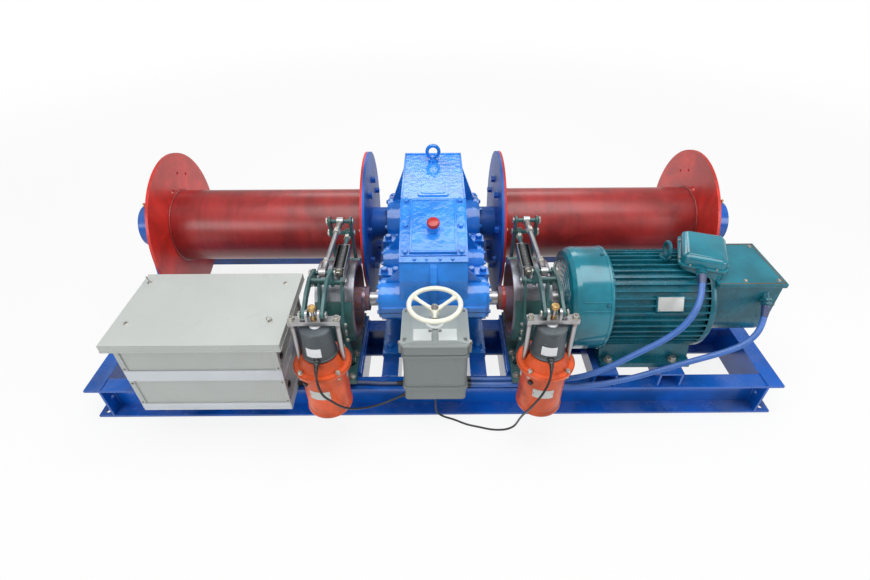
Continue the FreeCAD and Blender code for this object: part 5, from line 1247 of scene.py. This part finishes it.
class WINCH_OT_motor(bpy.types.Operator):
    """Seams, plates, glands, screws and end shields of the motor"""
    bl_idname = "winch.motor_dressing"
    bl_label = "Motor dressing"

    def execute(self, context):
        self.add_cowl()
        self.add_frame()
        self.add_terminal_box()
        self.add_ring_box()
        return {"FINISHED"}

    def add_cowl(self):
        # Seams and rims of the cowl take the lighter teal that paints the light on the cowl.
        bm = bmesh.new()
        for angle in (24.0, 33.4):
            matrix = Matrix.Translation(input_line(0)) @ Matrix.Rotation(math.radians(-angle), 4, "X")
            add_block(bm, (0.530, -0.2010, -0.0024), (0.636, -0.1975, 0.0024), 0.0012, matrix, 3)
        add_object("cowl_seams", mesh_from(bm, "cowl_seams"), "lit_teal", "base")
        rim = [(0.1985, -0.004), (0.2010, -0.003), (0.2020, 0.002), (0.2010, 0.007), (0.1985, 0.008)]
        rows = [(rim, input_line(0.630), X, 96)]
        for radius in (0.064, 0.085, 0.105, 0.125, 0.145):
            ring = [(radius - 0.0025, 0.0005), (radius - 0.0015, -0.0020), (radius + 0.0015, -0.0020),
                    (radius + 0.0025, 0.0005)]
            rows.append((ring, input_line(0.492), X, 64))
        lathe_piece("cowl_rims", rows, "lit_teal", "base")
        cover = [(0.0330, 0.0), (0.078, 0.0), (0.078, 0.006), (0.070, 0.012), (0.048, 0.014), (0.044, 0.022),
                 (0.0330, 0.022), (0.0330, 0.0)]
        lathe_piece("bearing_cover", [(cover, input_line(0.636), -X, 48)], "motor_teal", "base")
        screws = []
        for place in circle_points(input_line(0.616), X, 0.199, 6, math.pi / 6):
            screws.append((place, place - input_line(0.616)))
        add_bolts("cowl_screws", screws, "motor_teal", "base", 0.011, 0.005, 0.0075)

    def add_frame(self):
        ring = [(0.1700, 0.0), (0.1850, 0.0), (0.1868, 0.004), (0.1868, 0.017), (0.1845, 0.021), (0.1700, 0.021)]
        front = [(0.1700, 0.0), (0.1800, 0.0), (0.1815, 0.003), (0.1815, 0.012), (0.1700, 0.012)]
        lathe_piece("end_rings", [(ring, input_line(0.985), X, 96), (front, input_line(0.637), X, 96)],
                    "motor_teal", "base")
        bolts = []
        for place in circle_points(input_line(1.006), X, 0.1635, 6, math.pi / 2):
            if place.z < 0.56:
                bolts.append((place, X))
        add_bolts("shield_bolts", bolts, "motor_teal", "base", 0.017, 0.010, 0.012)
        feet = []
        for x in (0.672, 0.920):
            for y in (INPUT_Y - MOTOR_FOOT_OUT, INPUT_Y + MOTOR_FOOT_OUT):
                feet.append(((x, y, MOTOR_FOOT_TOP), Z))
        add_bolts("motor_foot_bolts", feet, "zinc", "base", 0.024, 0.014, 0.0175)
        matrix = Matrix.Translation(input_line(0.0)) @ Matrix.Rotation(math.radians(-31), 4, "X")
        block_piece("plate_pad", [((0.790, -0.1900, -0.029), (0.888, -0.176, 0.029), matrix)], "motor_teal", "base",
                    0.002)
        block_piece("rating_plate", [((0.794, -0.1912, -0.025), (0.884, -0.1894, 0.025), matrix)], "plate", "base",
                    0.0006)
        rivets = []
        for x in (0.799, 0.879):
            for z in (-0.020, 0.020):
                rivets.append((rivet_head(0.0026, 0.001, 0.002), matrix @ Vector((x, -0.1911, z)),
                               matrix.to_3x3() @ -Y, 10))
        lathe_piece("plate_rivets", rivets, "zinc", "base")

    def add_terminal_box(self):
        bm = bmesh.new()
        levels = [(-0.0012, 0.6290), (-0.0012, 0.6480), (0.0015, 0.6555), (0.0060, 0.6605), (0.0130, 0.6630),
                  (0.0135, 0.6655), (0.0180, 0.6675), (0.0350, 0.6685)]
        add_rounded(bm, 0.075, 0.095, 0.024, levels, TERMINAL)
        # The terminal lid takes the lighter teal, painted light.
        add_object("terminal_lid", mesh_from(bm, "terminal_lid"), "lit_teal", "base")
        bm = bmesh.new()
        add_rounded(bm, 0.083, 0.103, 0.024, [(-0.0006, 0.6196), (-0.0006, 0.6212)], TERMINAL)
        add_object("terminal_gasket", mesh_from(bm, "terminal_gasket"), "gap", "base")
        screws = [(TERMINAL @ Vector((x, y, 0.629)), Z) for x in (-0.0790, 0.0790) for y in (-0.062, 0.062)]
        screws += [(TERMINAL @ Vector((x, y, 0.629)), Z) for x in (-0.044, 0.044) for y in (-0.0990, 0.0990)]
        add_bolts("terminal_screws", screws, "zinc", "base", 0.0066, 0.0045, 0.0038)
        out = TERMINAL.to_3x3() @ -Y
        seat = TERMINAL @ Vector((0, -0.0950, 0.612))
        parts = [(hex_profile(0.037, 0.010), seat, out, 6), (hex_profile(0.034, 0.010), seat + out * 0.020, out, 6)]
        lathe_piece("terminal_gland", parts, "motor_teal", "base", False)
        add_relief("terminal_relief", STATOR_ROUTE, HOSE_D, 0.0295, 0.042, "hose_dark")

    def add_ring_box(self):
        low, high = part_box("slip_ring_lid")
        t = 0.0035
        z0, z1 = low.z - 0.010, high.z + 0.0006
        lip = [((low.x, low.y - t, z0), (high.x, low.y, z1)), ((low.x, high.y, z0), (high.x, high.y + t, z1)),
               ((high.x - 0.001, low.y - t, z0), (high.x + t, high.y + t, z1))]
        block_piece("ring_lid_lip", lip, "motor_teal", "base", 0.0012)
        # Dark brown line just inside the lid's edges.
        z0, z1 = high.z - 0.0002, high.z + 0.0011
        edge = [((low.x + 0.004, low.y + 0.003, z0), (high.x - 0.004, low.y + 0.006, z1)),
                ((low.x + 0.004, high.y - 0.006, z0), (high.x - 0.004, high.y - 0.003, z1)),
                ((high.x - 0.007, low.y + 0.003, z0), (high.x - 0.004, high.y - 0.003, z1))]
        block_piece("ring_lid_edge", edge, "rim_brown", "base", 0.0003)
        screws = [((x, y, high.z), Z) for x in (low.x + 0.100, high.x - 0.020)
                  for y in (low.y + 0.020, high.y - 0.020)]
        add_bolts("ring_lid_screws", screws, "zinc", "base", 0.011, 0.005, 0.0075)
        plate = [(0.0, 0.0), (0.098, 0.0), (0.096, 0.002), (0.090, 0.004), (0.0, 0.004)]
        lathe_piece("ring_end_plate", [(plate, input_line(1.240), X, 64)], "motor_teal", "base")
        bolts = [(place, X) for place in circle_points(input_line(1.244), X, 0.082, 6, math.pi / 6)]
        bolts.append(((1.240, -0.452, 0.482), X))
        add_bolts("ring_end_bolts", bolts, "zinc", "base", 0.014, 0.008, 0.0095)
        out = Vector((0, -math.sqrt(0.5), -math.sqrt(0.5)))
        mouth = Vector((1.195, -0.464, 0.525))
        parts = [(hex_profile(0.037, 0.010), mouth + out * 0.006, out, 6),
                 (hex_profile(0.034, 0.008), mouth + out * 0.021, out, 6)]
        lathe_piece("ring_gland", parts, "motor_teal", "base", False)
        add_relief("ring_relief", ROTOR_ROUTE, HOSE_D, 0.0295, 0.040, "hose_dark")


class WINCH_OT_controller(bpy.types.Operator):
    """Screws, hub nut, spoke roots and glands of the controller"""
    bl_idname = "winch.controller_dressing"
    bl_label = "Controller dressing"

    def execute(self, context):
        x, y = HANDWHEEL_X, HANDWHEEL_Y
        # The dial boss takes the pale lid coating, a painted highlight.
        boss = [(0.0255, 0.0), (0.0335, 0.0), (0.0335, 0.003), (0.0275, 0.009), (0.0255, 0.009)]
        lathe_piece("dial_boss", [(boss, (x, y, LID_TOP), Z, 40)], "lid_highlight", "base")
        nut = [(hex_profile(0.021, 0.010), (x, y, 0.5385), Z, 6),
               (disc_profile(0.0135, 0.0025), (x, y, 0.5365), Z, 28),
               (disc_profile(0.0058, 0.004), (x, y, 0.5482), Z, 16)]
        lathe_piece("hub_nut", nut, "worn", "controller_wheel")
        roots = []
        flare = [(0.0124, 0.0), (0.0108, 0.004), (0.0088, 0.010), (0.0075, 0.018), (0.0068, 0.024)]
        for degrees in (-90, 30, 150):
            a = math.radians(degrees)
            along = Vector((math.cos(a), math.sin(a), 0))
            rim = Vector((x, y, 0.553)) + along * 0.090
            inner = Vector((x, y, 0.525)) + along * 0.010
            way = (rim - inner).normalized()
            roots.append((flare, rim - way * 0.005, -way, 20))
            roots.append((flare, inner + way * 0.005, way, 20))
        lathe_piece("spoke_roots", roots, "handwheel_cream", "controller_wheel")
        screws = []
        for sx in (-0.100, 0.108):
            for sy in (-0.603, -0.451):
                screws.append(((sx, sy, 0.4575), (math.copysign(0.388, sx), 0, 0.922)))
        for sx, sy in ((-0.014, -0.573), (0.022, -0.573), (-0.044, -0.508), (0.052, -0.508)):
            screws.append(((sx, sy, LID_TOP), Z))
        add_bolts("lid_screws", screws, "worn", "base", 0.010, 0.005, 0.0068)
        ears = [((sx, -0.593, 0.432), Z) for sx in (-0.1195, 0.1275)]
        add_bolts("ear_bolts", ears, "zinc", "base", 0.012, 0.008, 0.0075)
        # Raised pads on the lid, in the pale coating that paints the light on their flat tops.
        pads = [((px, -0.619, 0.4675), (px + 0.064, -0.560, 0.4690)) for px in (-0.072, 0.016)]
        block_piece("lid_pads", pads, "lid_highlight", "base", 0.0012)
        glands = []
        for gy in (-0.531, -0.557):
            glands.append(([(0.0112, 0.0), (0.0128, 0.0), (0.0128, 0.012), (0.0118, 0.020), (0.0112, 0.024)],
                           (0.1195, gy, 0.1715), X, 28))
        lathe_piece("hose_collars", glands, "black", "base")
        nuts = [(hex_profile(0.027, 0.007), (-0.1115, -0.545, 0.1740), -X, 6)]
        lathe_piece("gland_nut", nuts, "black", "base", False)
        add_relief("resistor_relief", RESISTOR_ROUTE, THIN_HOSE_D, 0.0215, 0.034)
        add_relief("left_lead_relief", LEFT_LEAD_ROUTE, LEAD_D, 0.0155, 0.028, "black", True)
        add_relief("right_lead_relief", RIGHT_LEAD_ROUTE, LEAD_D, 0.0155, 0.028, "black", True)
        return {"FINISHED"}


def strips_round(low, high, out, into, z0, z1):
    """Four strips along a box's sides, reaching out from it and into it."""
    return [((low.x - out, low.y - out, z0), (high.x + out, low.y + into, z1)),
            ((low.x - out, high.y - into, z0), (high.x + out, high.y + out, z1)),
            ((low.x - out, low.y, z0), (low.x + into, high.y, z1)),
            ((high.x - into, low.y, z0), (high.x + out, high.y, z1))]


class WINCH_OT_resistor(bpy.types.Operator):
    """Bands, corner strips, screws and catches of the resistor box"""
    bl_idname = "winch.resistor_dressing"
    bl_label = "Resistor box dressing"

    def execute(self, context):
        low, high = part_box("resistor_box")
        t = 0.0012
        bands = []
        for z0, z1 in ((0.1610, 0.1970), (0.3210, 0.3715)):
            bands += strips_round(low, high, t, 0.0004, z0, z1)
        block_piece("box_bands", bands, "band_silver", "base", 0.0005)
        fold = ((low.x - 0.0022, low.y - 0.0024, 0.1763), (high.x + 0.0022, low.y, 0.1787))
        block_piece("band_folds", [fold], "band_silver", "base", 0.0008)
        posts = []
        for x, into_x in ((low.x, 0.0152), (high.x, -0.0152)):
            for y, into_y in ((low.y, 0.0152), (high.y, -0.0152)):
                px, py = sorted((x, x + into_x)), sorted((y, y + into_y))
                for z0, z1 in ((0.1975, 0.3205), (0.3720, 0.5000)):
                    posts.append(((px[0] - t, py[0] - t, z0), (px[1] + t, py[1] + t, z1)))
        block_piece("box_posts", posts, "box_grey", "base", 0.0010)
        self.add_screws(low, high)
        self.add_cover_trim()
        return {"FINISHED"}

    def add_screws(self, low, high):
        rows = []
        for z in (0.208, 0.310, 0.382, 0.480):
            for x in (low.x + 0.008, high.x - 0.008):
                rows.append(((x, low.y - 0.0012, z), -Y))
                rows.append(((x, high.y + 0.0012, z), Y))
            for y in (low.y + 0.008, high.y - 0.008):
                rows.append(((high.x + 0.0012, y, z), X))
                rows.append(((low.x - 0.0012, y, z), -X))
        add_bolts("box_screws", rows, "worn", "base", 0.0062, 0.0024, 0.0044)
        # Flat dark discs in the grommets: painted shade standing for the dark inside of the two knockout holes.
        holes, grommets = [], []
        for z in (0.255, 0.405):
            place = (high.x - 0.0041, -0.622, z)
            holes.append((disc_profile(0.0105, 0.0008), place, X, 24))
            grommets.append(([(0.010, 0.0), (0.0145, 0.0), (0.0150, 0.0018), (0.0130, 0.0034), (0.010, 0.0034)],
                             place, X, 28))
        lathe_piece("box_knockouts", holes, "gap", "base")
        lathe_piece("box_grommets", grommets, "black", "base")
        add_relief("box_relief", RESISTOR_ROUTE, THIN_HOSE_D, 0.0215, 0.034, "black", True)

    def add_cover_trim(self):
        low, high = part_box("resistor_box_cover")
        rim = strips_round(low, high, 0.0015, 0.001, low.z - 0.001, low.z + 0.004)
        block_piece("cover_hems", rim, "box_grey", "base", 0.0010)
        self.add_cover_top(low, high)
        places = [(-1.070, -0.350), (-0.556, -0.359), (-1.052, -0.580), (-0.561, -0.573)]
        z = high.z + 0.001
        cup = [(0.0, 0.0), (0.0090, 0.0), (0.0090, 0.0008), (0.006, 0.0026), (0.0, 0.0026)]
        cups = [(cup, (x, y, z), Z, 24) for x, y in places]
        head = [(0.0, 0.0), (0.0048, 0.0), (0.0048, 0.0024), (0.0036, 0.0038), (0.0, 0.0040)]
        heads = [(head, (x, y, z + 0.002), Z, 16) for x, y in places]
        lathe_piece("cover_cups", cups, "zinc", "base")
        lathe_piece("cover_heads", heads, "worn", "base")
        bm = bmesh.new()
        x, y = places[3]
        hook = []
        for k in range(15):
            a = math.radians(-40 + 250 * k / 14)
            hook.append((x + 0.009 * math.cos(a), y - 0.004, z + 0.013 + 0.010 * math.sin(a)))
        add_tube(bm, hook, 0.0019, 8)
        x, y = places[0]
        add_tube(bm, [(x, y, z), (x, y, z + 0.012), (x - 0.003, y, z + 0.022), (x - 0.004, y, z + 0.028)], 0.0024, 8)
        add_object("cover_hooks", mesh_from(bm, "cover_hooks"), "zinc", "base")

    def add_cover_top(self, low, high):
        """Cross-broken sheet, a millimetre or so higher in the middle than at its edges."""
        bm = bmesh.new()
        nx, ny = 36, 24
        grid = []
        for j in range(ny + 1):
            row = []
            for i in range(nx + 1):
                u, v = i / nx, j / ny
                rise = 0.0042 * (min(u, 1 - u, v, 1 - v) * 2) ** 0.7
                wave = 0.0004 * math.sin(9.1 * u + 1.3) * math.sin(7.3 * v + 0.6)
                row.append(bm.verts.new((low.x + (high.x - low.x) * u, low.y + (high.y - low.y) * v,
                                         high.z + 0.0002 + rise + wave * min(1, rise * 900))))
            grid.append(row)
        for j in range(ny):
            for i in range(nx):
                bm.faces.new((grid[j][i], grid[j][i + 1], grid[j + 1][i + 1], grid[j + 1][i]))
        border = grid[0] + [row[-1] for row in grid[1:]] + grid[-1][-2::-1] + [row[0] for row in grid[-2:0:-1]]
        under = [bm.verts.new((v.co.x, v.co.y, high.z - 0.0004)) for v in border]
        for k in range(len(border)):
            n = (k + 1) % len(border)
            bm.faces.new((border[k], under[k], under[n], border[n]))
        bm.faces.new(under)
        add_object("cover_sheet", mesh_from(bm, "cover_sheet"), "box_grey", "base")


CAMERA_PLACE = (0.00551, -1.86811, 1.67302)
CAMERA_PITCH, CAMERA_YAW, CAMERA_ROLL = 0.68312, -0.00228, -0.00524
CAMERA_LENS = 20.88
CAMERA_SHIFT = (-0.00125, 0.0091)
FLOOR_HALF = 40.0
SOFTBOXES = {
    "top_softbox": ((0.2, -0.6, 3.6), (0, 0.1, 0.3), (3.6, 2.2), 105),
    "front_softbox": ((-2.6, -3.4, 2.4), (0, -0.2, 0.4), (2.0, 1.6), 50),
    "side_softbox": ((3.4, -2.2, 2.2), (0.3, 0, 0.4), (1.6, 1.6), 36),
    "back_softbox": ((0.0, 3.2, 2.8), (0, 0.2, 0.5), (3.4, 1.2), 40),
}


class WINCH_OT_stage(bpy.types.Operator):
    """Camera at the photograph's angle, pale floor, soft lights and world"""
    bl_idname = "winch.stage"
    bl_label = "Camera and stage"

    def execute(self, context):
        scene = context.scene
        camera = bpy.data.cameras.new("camera")
        camera.sensor_width = 36.0
        camera.lens = CAMERA_LENS
        camera.shift_x, camera.shift_y = CAMERA_SHIFT
        obj = bpy.data.objects.new("camera", camera)
        turn = Euler((math.pi / 2 - CAMERA_PITCH, 0, CAMERA_YAW)).to_matrix() @ Matrix.Rotation(CAMERA_ROLL, 3, "Z")
        obj.location = CAMERA_PLACE
        obj.rotation_euler = turn.to_euler()
        scene.collection.objects.link(obj)
        scene.camera = obj
        self.add_floor(scene)
        self.add_lights(scene)
        scene.view_settings.view_transform = "Standard"
        return {"FINISHED"}

    def add_floor(self, scene):
        mesh = bpy.data.meshes.new("floor")
        corners = [(x * FLOOR_HALF, y * FLOOR_HALF, 0) for x, y in ((-1, -1), (1, -1), (1, 1), (-1, 1))]
        mesh.from_pydata(corners, [], [(0, 1, 2, 3)])
        floor = bpy.data.objects.new("floor", mesh)
        scene.collection.objects.link(floor)
        floor.location.z = -0.0005
        f = Finish("floor_white")
        material = f.done((0.75, 0.75, 0.75), 0.9)
        ray = f.node("ShaderNodeLightPath")
        seen = ray.out("Is Camera Ray").most(ray.out("Is Glossy Ray"))
        far = f.node("ShaderNodeVectorMath", {"operation": "LENGTH"}, f.place).out("Value").step(1.9, 6.5)
        white = f.node("ShaderNodeEmission", None, Strength=1.0).out(0)
        mix = f.node("ShaderNodeMixShader", None, seen * (far * 0.14 + 0.86), Wire(f, f.shader.outputs[0]), white)
        f.feed(f.output.inputs[0], mix.out(0))
        mesh.materials.append(material)

    def add_lights(self, scene):
        for name, (place, aim, size, power) in SOFTBOXES.items():
            light = bpy.data.lights.new(name, "AREA")
            light.shape = "RECTANGLE"
            light.size, light.size_y = size
            light.energy = power
            obj = bpy.data.objects.new(name, light)
            obj.location = place
            obj.rotation_euler = (Vector(aim) - Vector(place)).to_track_quat("-Z", "Y").to_euler()
            scene.collection.objects.link(obj)
        world = bpy.data.worlds.new("studio")
        scene.world = world
        world.use_nodes = True
        nodes = Nodes(world.node_tree)
        ray = nodes.node("ShaderNodeLightPath")
        seen = ray.out("Is Camera Ray").most(ray.out("Is Transmission Ray"))
        back = nodes.node("ShaderNodeBackground", None, Color=(1, 1, 1), Strength=seen * 0.58 + 0.42).out(0)
        nodes.node("ShaderNodeOutputWorld", None, back)


class WINCH_OT_finishes(bpy.types.Operator):
    """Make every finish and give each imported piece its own"""
    bl_idname = "winch.finishes"
    bl_label = "Finishes"

    def execute(self, context):
        FINISHES.update(make_materials(context.scene.winch_colours))
        TREES["bolts"] = bolt_tree()
        TREES["welds"] = weld_tree()
        finish_node_objects()
        return {"FINISHED"}


class WINCH_OT_cords(bpy.types.Operator):
    """Hoses and leads as smooth curves"""
    bl_idname = "winch.cords"
    bl_label = "Hoses and leads"

    def execute(self, context):
        for name, (route, diameter, finish, stiffness) in CORDS.items():
            add_cord(name, route, diameter, finish)
        return {"FINISHED"}


CLASSES = [WinchColours, WinchSizes, WINCH_OT_stage, WINCH_OT_finishes, WINCH_OT_cords, WINCH_OT_frame,
           WINCH_OT_drums, WINCH_OT_pedestals, WINCH_OT_reducer, WINCH_OT_brakes, WINCH_OT_thrusters,
           WINCH_OT_motor, WINCH_OT_controller, WINCH_OT_resistor]


class WINCH_PT_panel(bpy.types.Panel):
    """Sidebar panel with the sizes, colours and steps"""
    bl_idname = "WINCH_PT_panel"
    bl_label = "Twin-drum winch"
    bl_space_type = "VIEW_3D"
    bl_region_type = "UI"
    bl_category = "Winch"

    def draw(self, context):
        layout = self.layout
        for group in (context.scene.winch_colours, context.scene.winch_sizes):
            for key in group.bl_rna.properties.keys():
                if key not in ("rna_type", "name"):
                    layout.prop(group, key)
        for step in STEPS:
            layout.operator("winch." + step)


STEPS = ["stage", "finishes", "cords", "frame_welds", "drum_dressing", "pedestal_dressing", "reducer_dressing",
         "brake_dressing", "thruster_dressing", "motor_dressing", "controller_dressing", "resistor_dressing"]


def register():
    for item in CLASSES + [WINCH_PT_panel]:
        bpy.utils.register_class(item)
    bpy.types.Scene.winch_colours = bpy.props.PointerProperty(type=WinchColours)
    bpy.types.Scene.winch_sizes = bpy.props.PointerProperty(type=WinchSizes)


def unregister():
    del bpy.types.Scene.winch_colours
    del bpy.types.Scene.winch_sizes
    for item in reversed(CLASSES + [WINCH_PT_panel]):
        bpy.utils.unregister_class(item)


def main():
    """Run every step."""
    register()
    for step in STEPS:
        getattr(bpy.ops.winch, step)()


if __name__ == "__main__":
    main()
